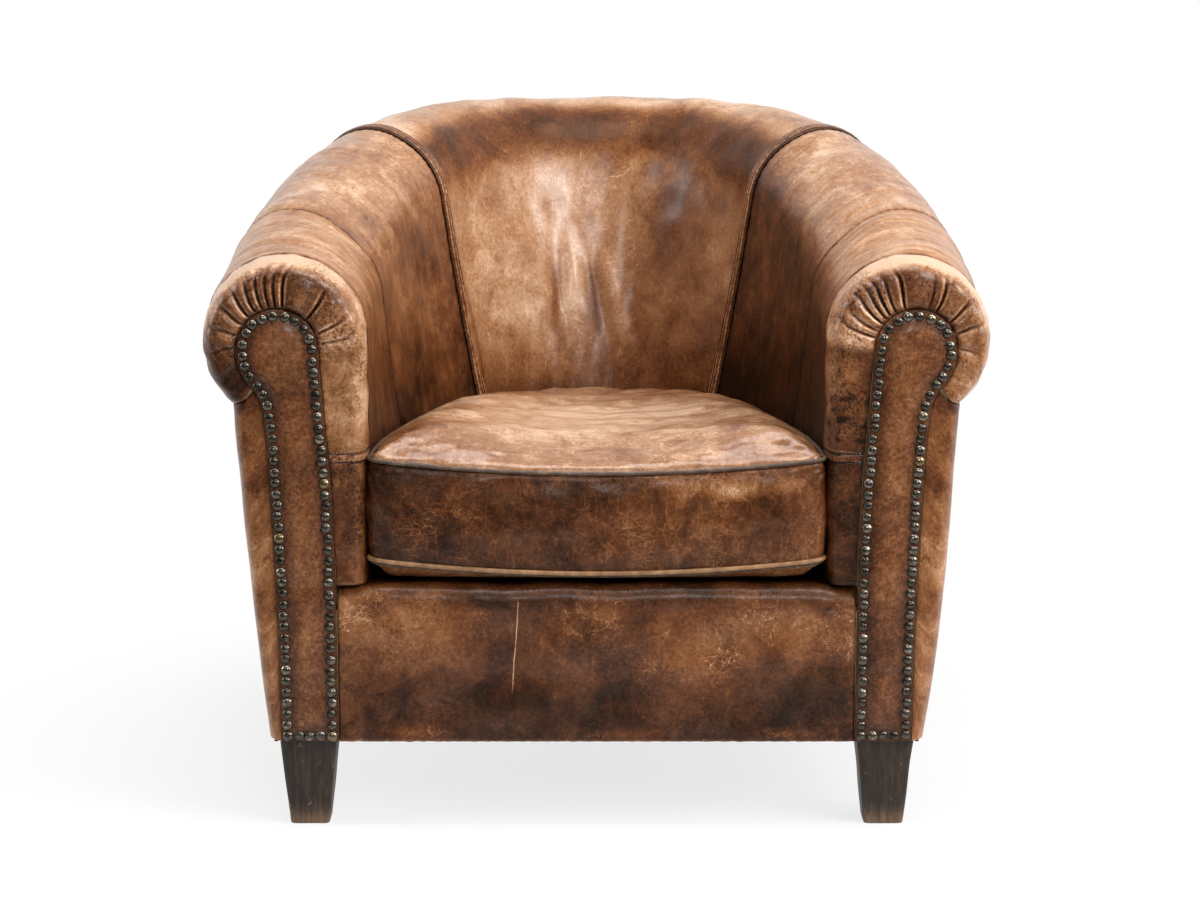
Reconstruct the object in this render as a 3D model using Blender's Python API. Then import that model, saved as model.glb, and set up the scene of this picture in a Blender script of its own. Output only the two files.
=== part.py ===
"""Worn leather club chair with a tub-shaped back, scroll arms, nailed facings and a loose seat cushion.

Metres, +Z up.  The chair faces -Y, it is the same left and right of X = 0, and the origin is on the
floor under the middle of its bounding box.

Arms and back are one tub.  A padded roll runs from the front of one arm, round the back, to the front
of the other.  A point of the tub is named by
  t  how far along the roll it lies: 0 left front, 1 middle of the back, 2 right front
  v  where it lies round the section: 0 seat deck, 1 roll (inner side), 2 crease under the roll, 3 hem
  inset  how deep it lies below the leather surface.
Depths "d" are measured from the front plane towards the back.
"""

import bpy
import bmesh
import math
import numpy as np
from mathutils import Matrix, Vector

# ---------------------------------------------------------------- driving dimensions (metres)
ROLL_RADIUS = 0.088
ROLL_HALF_WIDTH = 0.336
ROLL_DEPTH = 0.661
ROLL_POWER = 2.2
ARM_TOP = 0.6225
BACK_TOP = 0.7720
RISE_POWER = 1.3
CREASE_OUT = 0.0566

DECK_Z = 0.2723
DECK_HALF_WIDTH = 0.250
DECK_DEPTH = 0.463
HEM_Z = 0.098
HEM_HALF_WIDTH = 0.359
HEM_DEPTH = 0.690
HEM_POWER = 2.3
OUTSIDE_BULGE = 0.004

GAP = 0.0003
LEATHER = 0.0025
SEAM_STRIP = 0.009
SEAM_STRIP_PROUD = 0.0008
SEAM_STRIP_DEEP = 0.0016
PAD_TOP = LEATHER + 0.0008
INNER_PAD = 0.034
LINER = 0.004
ROLL_CORE = 0.033

FACE_D = 0.003
EDGE_ROUND_DEPTH = 0.027
EDGE_ROUND_SIDE = 0.0145
PLEATS = 13
PLEAT_HEIGHT = 0.0028
SCROLL_TURN = math.radians(222)

FRAME_D = 0.0061
POST_THICK = 0.028
POST_INSET = 0.0165
RAIL_THICK = 0.022
RAIL_INSET = LEATHER + 0.0006
FRONT_RAIL_THICK = 0.020
FRONT_RAIL_TOP = 0.244
SIDE_RAIL_TOP = 0.2422
RAIL_END_X = 0.2882
TOP_RAIL_WIDTH = 0.040
TOP_RAIL_HEIGHT = 0.042
BACK_POST_WIDTH = 0.060
BACK_POST_T = 0.63
POST_INNER = -0.006
POST_OUTER = 0.016
FRAME_JOINT_T = 0.56
BLOCK_TOP = 0.160
BLOCK_DEPTH = 0.050
FRONT_BLOCK_X = 0.3315
STRAP_WIDTH = 0.050
STRAP_THICK = 0.0015
LONG_STRAPS = ((-0.140, 0.630), (0.0, 0.680), (0.140, 0.630))
LONG_STRAP_FRONT = 0.0005
CROSS_STRAP_D = (0.170, 0.330)
CROSS_STRAP_SHORT = 0.006

FACING_D = 0.001
NAIL_RADIUS = 0.0055
NAIL_HEIGHT = 0.003
NAIL_PITCH = 0.0122
NAIL_INSET = 0.0068
NAIL_SIDES = 5
NAIL_SUNK = 0.0005

COVER_D = 0.0023
COVER_THICK = 0.0035
COVER_HALF_WIDTH = 0.2817
COVER_TOP = 0.272
COVER_ROUND = 0.020
COVER_BACK_D = 0.075
EDGE_PAD_BACK_D = 0.0295
DECK_EDGE_SIDE = 0.038
DECK_EDGE_BACK = 0.040

CUSHION_GAP = 0.0065
CUSHION_FRONT_D = 0.010
CUSHION_CORNER_D = 0.062
CUSHION_FOOT = COVER_TOP + GAP
CUSHION_TOP = 0.450
LOWER_WELT_Z = 0.287
UPPER_WELT_Z = 0.402
WELT_DROOP = 0.012
WELT_RADIUS = 0.0036
WELT_SEAT = 0.0066
WELT_OUT = 0.0015
WELT_SIDES = 4

LEG_TOP = 0.063
LEG_FOOT = 0.043
LEG_HEIGHT = HEM_Z - GAP
FRONT_LEG_X = 0.3165
FRONT_LEG_D = 0.0420
REAR_LEG_T = 0.665
REAR_LEG_INSET = 0.045
REAR_LEG_RAKE = 0.018
REAR_LEG_SPLAY = 0.009
LEG_CLEAR = 0.001
BOLT_RADIUS = 0.004
BOLT_HOLE = 0.0043
BOLT_FOOT = 0.055
BOLT_TOP = 0.140
FRONT_BOLT_IN = (0.0215, 0.019)
DUST_COVER_THICK = 0.001
DUST_COVER_INSET = 0.006
DUST_COVER_FRONT_D = 0.010

BACK_D = ROLL_DEPTH + ROLL_RADIUS
FRONT_MOST_D = FACING_D - NAIL_HEIGHT
CENTRE_D = (BACK_D + FRONT_MOST_D) / 2

COLLECTION = "worn_club_chair"


# ---------------------------------------------------------------- scene, materials, mesh helpers
for old in list(bpy.data.objects):
    bpy.data.objects.remove(old, do_unlink=True)


def make_collection(name):
    collection = bpy.data.collections.new(name)
    bpy.context.scene.collection.children.link(collection)
    return collection


parts = make_collection(COLLECTION)
cutters = make_collection("cutters")


def material(name, colour, roughness, metallic=0.0):
    mat = bpy.data.materials.new(name)
    mat.use_nodes = True
    shader = mat.node_tree.nodes["Principled BSDF"]
    shader.inputs["Base Color"].default_value = (*colour, 1.0)
    shader.inputs["Roughness"].default_value = roughness
    shader.inputs["Metallic"].default_value = metallic
    mat.diffuse_color = (*colour, 1.0)
    return mat


TAN_LEATHER = material("tan_leather", (0.30, 0.13, 0.055), 0.45)
BROWN_LEATHER = material("brown_leather", (0.17, 0.065, 0.03), 0.42)
DARK_LEATHER = material("dark_leather", (0.10, 0.036, 0.018), 0.40)
WELT_LEATHER = material("welt_leather", (0.07, 0.035, 0.022), 0.55)
NAILED_LEATHER = material("nailed_leather", (0.16, 0.055, 0.03), 0.38)
HARDBOARD = material("hardboard", (0.25, 0.15, 0.08), 0.85)
DARK_WOOD = material("dark_wood", (0.035, 0.022, 0.016), 0.55)
BEECH = material("beech", (0.45, 0.30, 0.17), 0.70)
FOAM = material("foam", (0.72, 0.62, 0.40), 0.95)
JUTE = material("jute", (0.40, 0.30, 0.18), 0.95)
BLACK_CLOTH = material("black_cloth", (0.02, 0.02, 0.02), 0.95)
STEEL = material("steel", (0.55, 0.55, 0.56), 0.35, 1.0)


def add_object(name, mesh, mat, collection=parts):
    obj = bpy.data.objects.new(name, mesh)
    collection.objects.link(obj)
    mesh.materials.clear()
    mesh.materials.append(mat)
    mesh.shade_smooth()
    mesh.set_sharp_from_angle(angle=math.radians(35))
    return obj


def finish_bmesh(name, bm, mat, collection=parts):
    bmesh.ops.recalc_face_normals(bm, faces=bm.faces)
    mesh = bpy.data.meshes.new(name)
    bm.to_mesh(mesh)
    bm.free()
    return add_object(name, mesh, mat, collection)


def world(x, d, z):
    return Vector((x, d - CENTRE_D, z))


def loft_solid(name, outer, inner, mat):
    """A closed solid between two grids of points of the same size, with walls along all four edges.

    Every four-sided cell is split along the same diagonal, so that layers which share their lines
    stay parallel and walls which meet at a seam match.
    """
    rows, columns = len(outer), len(outer[0])
    bm = bmesh.new()
    skins = []
    for grid in (outer, inner):
        skins.append([[bm.verts.new(world(*point)) for point in row] for row in grid])

    def add_cell(a, b, c, e):
        bm.faces.new((a, b, c))
        bm.faces.new((a, c, e))

    for skin in skins:
        for i in range(rows - 1):
            for j in range(columns - 1):
                add_cell(skin[i][j], skin[i + 1][j], skin[i + 1][j + 1], skin[i][j + 1])
    out, deep = skins
    for j in (0, columns - 1):
        for i in range(rows - 1):
            add_cell(out[i][j], out[i + 1][j], deep[i + 1][j], deep[i][j])
    for i in (0, rows - 1):
        for j in range(columns - 1):
            add_cell(out[i][j], out[i][j + 1], deep[i][j + 1], deep[i][j])
    return finish_bmesh(name, bm, mat)


def loft_rings(name, rings, mat, closed=False):
    """A solid through like rings of points; the ends are capped, or joined when it closes on itself."""
    bm = bmesh.new()
    loops = [[bm.verts.new(world(*point)) for point in ring] for ring in rings]
    pairs = list(zip(loops, loops[1:]))
    if closed:
        pairs.append((loops[-1], loops[0]))
    for first, second in pairs:
        for i in range(len(first)):
            j = (i + 1) % len(first)
            bm.faces.new((first[i], first[j], second[j], second[i]))
    if not closed:
        bm.faces.new(loops[0])
        bm.faces.new(loops[-1])
    return finish_bmesh(name, bm, mat)


def box(name, low, high, mat, collection=parts):
    """A box between two corners given as (x, d, z)."""
    bm = bmesh.new()
    bmesh.ops.create_cube(bm, size=1.0)
    a = world(*low)
    b = world(*high)
    for vert in bm.verts:
        vert.co = Vector(((a + b) / 2)[k] + vert.co[k] * (b - a)[k] for k in range(3))
    return finish_bmesh(name, bm, mat, collection)


def cylinder(name, centre, radius, z0, z1, mat, sides=12, collection=parts):
    bm = bmesh.new()
    bmesh.ops.create_cone(bm, cap_ends=True, segments=sides, radius1=radius, radius2=radius, depth=z1 - z0)
    middle = world(centre[0], centre[1], (z0 + z1) / 2)
    for vert in bm.verts:
        vert.co += middle
    return finish_bmesh(name, bm, mat, collection)


def extrude_outline(name, outline, d0, d1, mat):
    """A flat outline of (x, z) points made as a filled curve, standing between two depths."""
    curve = bpy.data.curves.new(name, "CURVE")
    curve.dimensions = "2D"
    curve.fill_mode = "BOTH"
    curve.extrude = (d1 - d0) / 2
    spline = curve.splines.new("POLY")
    spline.points.add(len(outline) - 1)
    for point, (x, z) in zip(spline.points, outline):
        point.co = (x, z, 0, 1)
    spline.use_cyclic_u = True
    shape = bpy.data.objects.new(name, curve)
    parts.objects.link(shape)
    bpy.context.view_layer.update()
    mesh = bpy.data.meshes.new_from_object(shape.evaluated_get(bpy.context.evaluated_depsgraph_get()))
    bpy.data.objects.remove(shape)
    bpy.data.curves.remove(curve)
    bm = bmesh.new()
    bm.from_mesh(mesh)
    bpy.data.meshes.remove(mesh)
    middle = (d0 + d1) / 2
    for vert in bm.verts:
        x, z, depth = vert.co
        vert.co = world(x, middle + depth, z)
    bmesh.ops.remove_doubles(bm, verts=bm.verts, dist=0.00001)
    return finish_bmesh(name, bm, mat)


def boolean(obj, operation, other):
    modifier = obj.modifiers.new(operation.lower(), "BOOLEAN")
    modifier.operation = operation
    modifier.object = other
    other.hide_render = True
    other.display_type = "WIRE"


def smooth_points(points, steps):
    """Points along a Catmull-Rom curve through the given (x, z) points."""
    knots = [points[0]] + list(points) + [points[-1]]
    result = []
    for a, b, c, e in zip(knots, knots[1:], knots[2:], knots[3:]):
        for k in range(steps):
            w = k / steps
            result.append(tuple(
                0.5 * (2 * b[i] + (c[i] - a[i]) * w + (2 * a[i] - 5 * b[i] + 4 * c[i] - e[i]) * w ** 2
                       + (3 * b[i] - a[i] - 3 * c[i] + e[i]) * w ** 3) for i in range(2)))
    result.append(tuple(points[-1]))
    return result


# ---------------------------------------------------------------- the tub: roll line and section
ROLL_SAMPLES = 2000
REACH_LIMITS = (-0.30, 0.10)
REACH_HALVINGS = 40
roll_angle = np.linspace(0, math.pi / 2, ROLL_SAMPLES)
roll_x = ROLL_HALF_WIDTH * np.abs(np.cos(roll_angle)) ** (2 / ROLL_POWER)
roll_d = ROLL_DEPTH * np.sin(roll_angle) ** (2 / ROLL_POWER)
roll_x[-1] = 0.0
roll_way = np.concatenate([[0.0], np.cumsum(np.hypot(np.diff(roll_x), np.diff(roll_d)))])
HALF_LENGTH = float(roll_way[-1])
roll_way /= HALF_LENGTH


def roll_point(s):
    """Centre line of the roll on the right half, 0 at the front and 1 at the middle of the back."""
    return float(np.interp(s, roll_way, roll_x)), float(np.interp(s, roll_way, roll_d))


def roll_frame(s):
    """The roll's centre and its outward direction in plan."""
    step = 0.001
    x0, d0 = roll_point(max(s - step, 0.0))
    x1, d1 = roll_point(min(s + step, 1.0))
    length = math.hypot(x1 - x0, d1 - d0)
    if s > 1 - step:
        return roll_point(s), (0.0, 1.0)
    return roll_point(s), ((d1 - d0) / length, (x0 - x1) / length)


def reach(centre, outward, half_width, depth, power):
    """Signed distance from the roll's centre, along its outward direction, to a plan curve.

    The curve lies between the two limits, which are halved down onto it.
    """
    def excess(distance):
        x = abs(centre[0] + outward[0] * distance) / half_width
        d = abs(centre[1] + outward[1] * distance) / depth
        return x ** power + d ** power - 1
    low, high = REACH_LIMITS
    for _ in range(REACH_HALVINGS):
        middle = (low + high) / 2
        if excess(middle) < 0:
            low = middle
        else:
            high = middle
    return low


def roll_height(d):
    share = math.sin(math.pi / 2 * min(max(d / ROLL_DEPTH, 0.0), 1.0)) ** RISE_POWER
    return ARM_TOP + (BACK_TOP - ARM_TOP) * share - ROLL_RADIUS


def section(s, v, inset, crease_inset=None):
    """Offset from the roll's centre (outward, height) and that centre, for a point of the tub."""
    if crease_inset is None:
        crease_inset = inset
    centre, outward = roll_frame(s)
    centre_z = roll_height(centre[1])
    deck = -reach(centre, outward, DECK_HALF_WIDTH, DECK_DEPTH, ROLL_POWER)
    rise = centre_z - DECK_Z
    lean = math.acos(ROLL_RADIUS / math.hypot(deck, rise)) - math.atan2(rise, deck)
    radius = ROLL_RADIUS - inset
    crease = 2 * math.pi - math.acos(-(CREASE_OUT - crease_inset) / (ROLL_RADIUS - crease_inset))
    if v <= 1:
        foot = (-deck + inset / math.cos(lean), -rise)
        top = (-radius * math.cos(lean), radius * math.sin(lean))
        out, up = (foot[i] + (top[i] - foot[i]) * v for i in range(2))
    elif v <= 2:
        angle = lean + (crease - lean) * (v - 1)
        out, up = -radius * math.cos(angle), radius * math.sin(angle)
    else:
        hem = reach(centre, outward, HEM_HALF_WIDTH, HEM_DEPTH, HEM_POWER) - inset
        top = (CREASE_OUT - inset, radius * math.sin(crease))
        w = v - 2
        out = top[0] + (hem - top[0]) * w + OUTSIDE_BULGE * math.sin(math.pi * w)
        up = top[1] + (HEM_Z - centre_z - top[1]) * w
    return centre, outward, centre_z, out, up


def tub(t, v, inset=0.0, crease_inset=None):
    """A point (x, d, z) of the tub; t runs from the left front over the back to the right front."""
    side = -1 if t < 1 else 1
    s = t if t < 1 else 2 - t
    centre, outward, centre_z, out, up = section(s, v, inset, crease_inset)
    return (side * (centre[0] + outward[0] * out), centre[1] + outward[1] * out, centre_z + up)


def way_at_depth(d):
    """The t of the left arm at which the roll's centre lies at depth d."""
    return float(np.interp(d, roll_d, roll_way))


def seam_front(v):
    return 0.050 + 0.030 * (v - 1.3) ** 2 if v <= 2 else 0.065


def seam_arm(v):
    return 0.172 + 0.175 * math.hypot(min(v, 2) - 1.2, 0.05)


def seam_back(v):
    return 0.525 + 0.075 * math.hypot(min(v, 2) - 1.25, 0.05)


def knots(v):
    """The t of each line that runs up the tub: seams of the left half, middle, seams of the right."""
    half = [way_at_depth(FACE_D + EDGE_ROUND_DEPTH), seam_front(v), seam_arm(v), seam_back(v)]
    return half + [1.0] + [2 - t for t in reversed(half)]


STEPS_BETWEEN = [1, 3, 5, 5, 5, 5, 3, 1]
FRONT, SEAM_1, SEAM_2, SEAM_3, MIDDLE, SEAM_4, SEAM_5, SEAM_6, END = range(9)
INNER_ROWS = [0.0, 0.5, 1.0]
ROLL_STRIPS = 8
ROLL_ROWS = [1 + k / ROLL_STRIPS for k in range(ROLL_STRIPS + 1)]
OUTSIDE_ROWS = [2.0, 2.05, 2.12, 2.3, 2.65, 3.0]


ROW_TRIM = 0.002
STRIP_TRIM = SEAM_STRIP / 2 + GAP


def trim_rows(rows):
    """The rows with both ends drawn in by a hair."""
    return [rows[0] + ROW_TRIM] + list(rows[1:-1]) + [rows[-1] - ROW_TRIM]


def columns(first, last, beside_strips=False):
    """All the lines from one knot to another, as (knot, share towards the next knot, extra way).

    Layers that lie under a seam strip get a line along each side of it as well.
    """
    result = []
    for knot in range(first, last + 1):
        covered = beside_strips and knot in (SEAM_3, SEAM_4)
        if covered and knot > first:
            result.append((knot, 0.0, -STRIP_TRIM))
        result.append((knot, 0.0, 0.0))
        if covered and knot < last:
            result.append((knot, 0.0, STRIP_TRIM))
        if knot < last:
            steps = STEPS_BETWEEN[knot]
            result += [(knot, k / steps, 0.0) for k in range(1, steps)]
    return result


def line_t(column, v, trim=0.0):
    knot, share, way = column
    ts = knots(v)
    t = ts[knot] if share == 0 else ts[knot] + (ts[knot + 1] - ts[knot]) * share
    return t + (way + trim) / HALF_LENGTH


def quilt(name, first, last, rows, depth0, depth1, mat, trims=(GAP, GAP), crease_inset=None):
    """A layer of the tub between two knots and two depths, kept a hair clear along its edges."""
    lines = columns(first, last, beside_strips=depth0 > LEATHER)
    levels = trim_rows(rows)
    grids = []
    for depth in (depth0, depth1):
        grid = []
        for k, column in enumerate(lines):
            shift = trims[0] if k == 0 else -trims[1] if k == len(lines) - 1 else 0.0
            grid.append([tub(line_t(column, v, shift), v, depth, crease_inset) for v in levels])
        grids.append(grid)
    return loft_solid(name, grids[0], grids[1], mat)


# ---------------------------------------------------------------- the facing outline on the arm front
ARCH_X = 0.342
ARCH_Z = 0.529
ARCH_RADIUS = 0.044
FACING_FOOT_Z = 0.0985
INNER_EDGE = [(0.2820, FACING_FOOT_Z), (0.2826, 0.210), (0.2832, 0.290), (0.2850, 0.345), (0.2880, 0.400),
              (0.2915, 0.440), (0.2945, 0.480), (0.2980, ARCH_Z)]
OUTER_EDGE = [(0.3860, ARCH_Z), (0.3835, 0.5115), (0.3760, 0.4950), (0.3665, 0.4840), (0.3600, 0.4700),
              (0.3560, 0.4450), (0.3530, 0.400), (0.3500, 0.340), (0.3475, 0.280), (0.3455, 0.212),
              (0.3435, FACING_FOOT_Z)]
CREASE_EDGE = (0.3700, 0.4875)
EDGE_CLEAR = 0.0009
NECK_DROP = 0.0015


def arch_point(angle, radius):
    """A point of the arch, with the angle counted from its inner side over the top."""
    return ARCH_X - radius * math.cos(angle), ARCH_Z + radius * math.sin(angle)


def edge_x(edge, z):
    """Where a facing edge lies at a height."""
    ordered = sorted(smooth_points(edge, 6), key=lambda point: point[1])
    return float(np.interp(z, [p[1] for p in ordered], [p[0] for p in ordered]))


def facing_outline(steps, arch_steps, inset=0.0):
    """The facing's closed outline, up the inner edge, over the arch and down the outer edge."""
    points = smooth_points(INNER_EDGE, steps)
    points += [arch_point(math.pi * k / arch_steps, ARCH_RADIUS) for k in range(1, arch_steps)]
    points += smooth_points(OUTER_EDGE, steps)
    if inset == 0:
        return points
    moved = []
    for k, point in enumerate(points):
        before = Vector(points[k - 1])
        after = Vector(points[(k + 1) % len(points)])
        first = (Vector(point) - before).normalized()
        second = (after - Vector(point)).normalized()
        mean = (first + second).normalized()
        normal = Vector((mean.y, -mean.x)) / max(mean.dot(first), 0.5)
        moved.append(tuple(Vector(point) + normal * inset))
    return moved


def nail_places():
    """Nail centres at equal steps along the closed line a nail's inset inside the outline."""
    line = facing_outline(8, 24, NAIL_INSET)
    line.append(line[0])
    way = np.concatenate([[0.0], np.cumsum([math.dist(a, b) for a, b in zip(line, line[1:])])])
    count = round(float(way[-1]) / NAIL_PITCH)
    at = np.linspace(0, way[-1], count, endpoint=False)
    xs = np.interp(at, way, [p[0] for p in line])
    zs = np.interp(at, way, [p[1] for p in line])
    return list(zip(xs.tolist(), zs.tolist()))


# ---------------------------------------------------------------- front of the arm
EDGE_ANGLES = [0.0, 30.0, 60.0, 90.0]


def edge_rows():
    """Depth and inset of the lines that turn the arm's front edge."""
    rows = []
    for degrees in EDGE_ANGLES:
        turn = math.radians(degrees)
        depth = FACE_D + EDGE_ROUND_DEPTH * (1 - math.cos(turn))
        rows.append((depth, EDGE_ROUND_SIDE * (1 - math.sin(turn))))
    return rows


def front_edge_point(v, d, inset):
    """A point on the left arm's turned front edge, as (x, d, z) with x positive."""
    centre, outward, centre_z, out, up = section(way_at_depth(d), v, inset)
    return (centre[0] + out, d, centre_z + up)


def nail_line_point(v):
    """Where the leather of the arm front meets the facing, as (x, z)."""
    if v <= 1:
        z = DECK_Z + (ARCH_Z - DECK_Z) * v
        return edge_x(INNER_EDGE, z) - EDGE_CLEAR, z
    if v <= 2:
        angle = SCROLL_TURN * (v - 1)
        radius = ARCH_RADIUS + GAP
        x, z = arch_point(min(angle, math.pi), radius)
        if angle > math.pi:
            share = (angle - math.pi) / (SCROLL_TURN - math.pi)
            z = ARCH_Z + (CREASE_EDGE[1] - ARCH_Z) * share
            x = edge_x(OUTER_EDGE, z) + EDGE_CLEAR
        return x, z
    z = CREASE_EDGE[1] - NECK_DROP + (FACING_FOOT_Z - CREASE_EDGE[1]) * (v - 2)
    return edge_x(OUTER_EDGE, z) + EDGE_CLEAR, z


def pleat(v):
    """Height of the gathers round the scroll, 0 in a valley and 1 on a crest."""
    if v <= 1 or v >= 2:
        return 0.0
    return 0.5 - 0.5 * math.cos(2 * math.pi * PLEATS * (v - 1))


PLEAT_SHARE = [0.35, 0.85, 1.0, 0.8, 0.4]


def front_wrap(name, side, rows, lines, mat):
    """Leather that starts at the nails, turns over the arm's front edge and runs back along the arm."""
    levels = trim_rows(rows)
    grids = []
    for layer in (0.0, LEATHER):
        grid = []
        for v in levels:
            x, z = nail_line_point(v)
            lift = PLEAT_HEIGHT * pleat(v)
            line = [(x, FACE_D - lift * PLEAT_SHARE[0] + layer, z)]
            for share, (d, inset) in zip(PLEAT_SHARE[1:], edge_rows()):
                turn = math.acos(1 - (d - FACE_D) / EDGE_ROUND_DEPTH)
                out = lift * share * math.sin(turn) - layer * math.sin(turn)
                ahead = lift * share * math.cos(turn) - layer * math.cos(turn)
                line.append(front_edge_point(v, d, inset - out))
                line[-1] = (line[-1][0], d - ahead, line[-1][2])
            for column in lines:
                trim = -GAP if column is lines[-1] else 0.0
                x, d, z = tub(line_t(column, v, trim), v, layer)
                line.append((-x, d, z))
            grid.append([(side * x, d, z) for x, d, z in line])
        grids.append(grid)
    return loft_solid(name, grids[0], grids[1], mat)


BAND_ROWS = INNER_ROWS[:-1] + [1 + k / (2 * PLEATS) for k in range(2 * PLEATS + 1)]
SIDES = ((-1, "left"), (1, "right"))

for side, word in SIDES:
    front_wrap("arm_front_band_" + word, side, BAND_ROWS, columns(SEAM_1, SEAM_1), BROWN_LEATHER)

# ---------------------------------------------------------------- leather panels of the tub
PANEL_ROWS = INNER_ROWS + ROLL_ROWS[1:]
INSIDE_PANELS = (("inside_arm_left", SEAM_1, SEAM_2, (GAP, GAP)),
                 ("inside_wing_left", SEAM_2, SEAM_3, (GAP, STRIP_TRIM)),
                 ("inside_back", SEAM_3, SEAM_4, (STRIP_TRIM, STRIP_TRIM)),
                 ("inside_wing_right", SEAM_4, SEAM_5, (STRIP_TRIM, GAP)),
                 ("inside_arm_right", SEAM_5, SEAM_6, (GAP, GAP)))
for name, first, last, trims in INSIDE_PANELS:
    quilt(name, first, last, PANEL_ROWS, 0.0, LEATHER, TAN_LEATHER, trims)
quilt("outside_back", SEAM_3, SEAM_4, OUTSIDE_ROWS, 0.0, LEATHER, BROWN_LEATHER)
for side, word in SIDES:
    front_wrap("outside_arm_" + word, side, OUTSIDE_ROWS, columns(SEAM_1, SEAM_3), BROWN_LEATHER)


def seam_strip(name, knot):
    """The sewn strip that covers a seam of the back."""
    grids = []
    for depth in (-SEAM_STRIP_PROUD, SEAM_STRIP_DEEP):
        grid = []
        for way in (-SEAM_STRIP / 2, 0.0, SEAM_STRIP / 2):
            grid.append([tub(line_t((knot, 0.0, way), v), v, depth) for v in trim_rows(PANEL_ROWS)])
        grids.append(grid)
    return loft_solid(name, grids[0], grids[1], WELT_LEATHER)


seam_strip("back_seam_strip_left", SEAM_3)
seam_strip("back_seam_strip_right", SEAM_4)

# ---------------------------------------------------------------- padding and liners under the leather
CORE_DEPTH = ROLL_RADIUS - ROLL_CORE
LINER_TOP = INNER_PAD + GAP
PAD_SPANS = (("back{}", "back{}", SEAM_3, SEAM_4),
             ("side{}_left", "arm{}_left", SEAM_1, SEAM_3),
             ("side{}_right", "arm{}_right", SEAM_4, SEAM_6))
for wall, roll, first, last in PAD_SPANS:
    quilt(wall.format("_pad"), first, last, INNER_ROWS, PAD_TOP, INNER_PAD, FOAM)
    quilt(wall.format("_liner"), first, last, INNER_ROWS, LINER_TOP, LINER_TOP + LINER, HARDBOARD)
    quilt(roll.format("_roll_pad"), first, last, ROLL_ROWS, PAD_TOP, CORE_DEPTH, FOAM, crease_inset=PAD_TOP)

# ---------------------------------------------------------------- timber frame
POST_ROWS = [0.05, 1.0] + ROLL_ROWS[1:] + [2.33, 2.67, 3.0]


def front_post(name, side):
    """The scroll-shaped board that the arm's facing is nailed to, notched for the front rail."""
    outline = [(RAIL_END_X + GAP, HEM_Z), (RAIL_END_X + GAP, COVER_TOP + GAP)]
    for v in POST_ROWS:
        centre, outward, centre_z, out, up = section(0.0, v, POST_INSET)
        x, z = centre[0] + out, centre_z + up
        if v == POST_ROWS[0]:
            outline.append((x, COVER_TOP + GAP))
        outline.append((x, z))
    extrude_outline(name, [(side * x, z) for x, z in outline], FRAME_D, FRAME_D + POST_THICK, BEECH)


def hem_point(t, inset, z):
    """A point of the base frame, measured in from the hem line."""
    side = -1 if t < 1 else 1
    s = t if t < 1 else 2 - t
    centre, outward = roll_frame(s)
    out = reach(centre, outward, HEM_HALF_WIDTH, HEM_DEPTH, HEM_POWER) - inset
    return (side * (centre[0] + outward[0] * out), centre[1] + outward[1] * out, z)


def bent_board(name, ts, inset0, inset1, z0, z1, mat):
    """A board bent along the hem line."""
    rings = []
    for t in ts:
        rings.append([hem_point(t, inset0, z0), hem_point(t, inset1, z0), hem_point(t, inset1, z1),
                      hem_point(t, inset0, z1)])
    return loft_rings(name, rings, mat)


def top_rail(name, ts):
    """A rail inside the padded roll."""
    rings = []
    for t in ts:
        side = -1 if t < 1 else 1
        centre, outward = roll_frame(t if t < 1 else 2 - t)
        z = roll_height(centre[1])
        ring = []
        for out, up in ((-1, -1), (1, -1), (1, 1), (-1, 1)):
            shift = out * TOP_RAIL_WIDTH / 2
            ring.append((side * (centre[0] + outward[0] * shift), centre[1] + outward[1] * shift,
                         z + up * TOP_RAIL_HEIGHT / 2))
        rings.append(ring)
    return loft_rings(name, rings, BEECH)


def mirror_ts(ts):
    return [2 - t for t in reversed(ts)]


BEHIND_POST = FRAME_D + POST_THICK + GAP
HAIR = GAP / HALF_LENGTH
post_t = way_at_depth(BEHIND_POST)
arm_lines = [line_t(column, 3.0) for column in columns(SEAM_1, SEAM_3)]
back_lines = [line_t(column, 3.0) for column in columns(SEAM_3, SEAM_4)]
side_ts = [post_t] + arm_lines[:-1] + [arm_lines[-1] - HAIR]
back_ts = [back_lines[0] + HAIR] + back_lines[1:-1] + [back_lines[-1] - HAIR]
joint_t = FRAME_JOINT_T + 2 * HAIR
arm_rail_ts = np.linspace(post_t, FRAME_JOINT_T, 12).tolist()
back_rail_ts = np.linspace(joint_t, 2 - joint_t, 15).tolist()

front_post("front_post_left", -1)
front_post("front_post_right", 1)
top_rail("arm_top_rail_left", arm_rail_ts)
top_rail("arm_top_rail_right", mirror_ts(arm_rail_ts))
top_rail("back_top_rail", back_rail_ts)
RAIL_DEEP = RAIL_INSET + RAIL_THICK
bent_board("side_rail_left", side_ts, RAIL_INSET, RAIL_DEEP, HEM_Z, SIDE_RAIL_TOP, BEECH)
bent_board("side_rail_right", mirror_ts(side_ts), RAIL_INSET, RAIL_DEEP, HEM_Z, SIDE_RAIL_TOP, BEECH)
bent_board("back_rail", back_ts, RAIL_INSET, RAIL_DEEP, HEM_Z, FRONT_RAIL_TOP, BEECH)
box("front_rail", (-RAIL_END_X, FRAME_D, HEM_Z), (RAIL_END_X, FRAME_D + FRONT_RAIL_THICK, FRONT_RAIL_TOP),
    BEECH)


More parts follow.
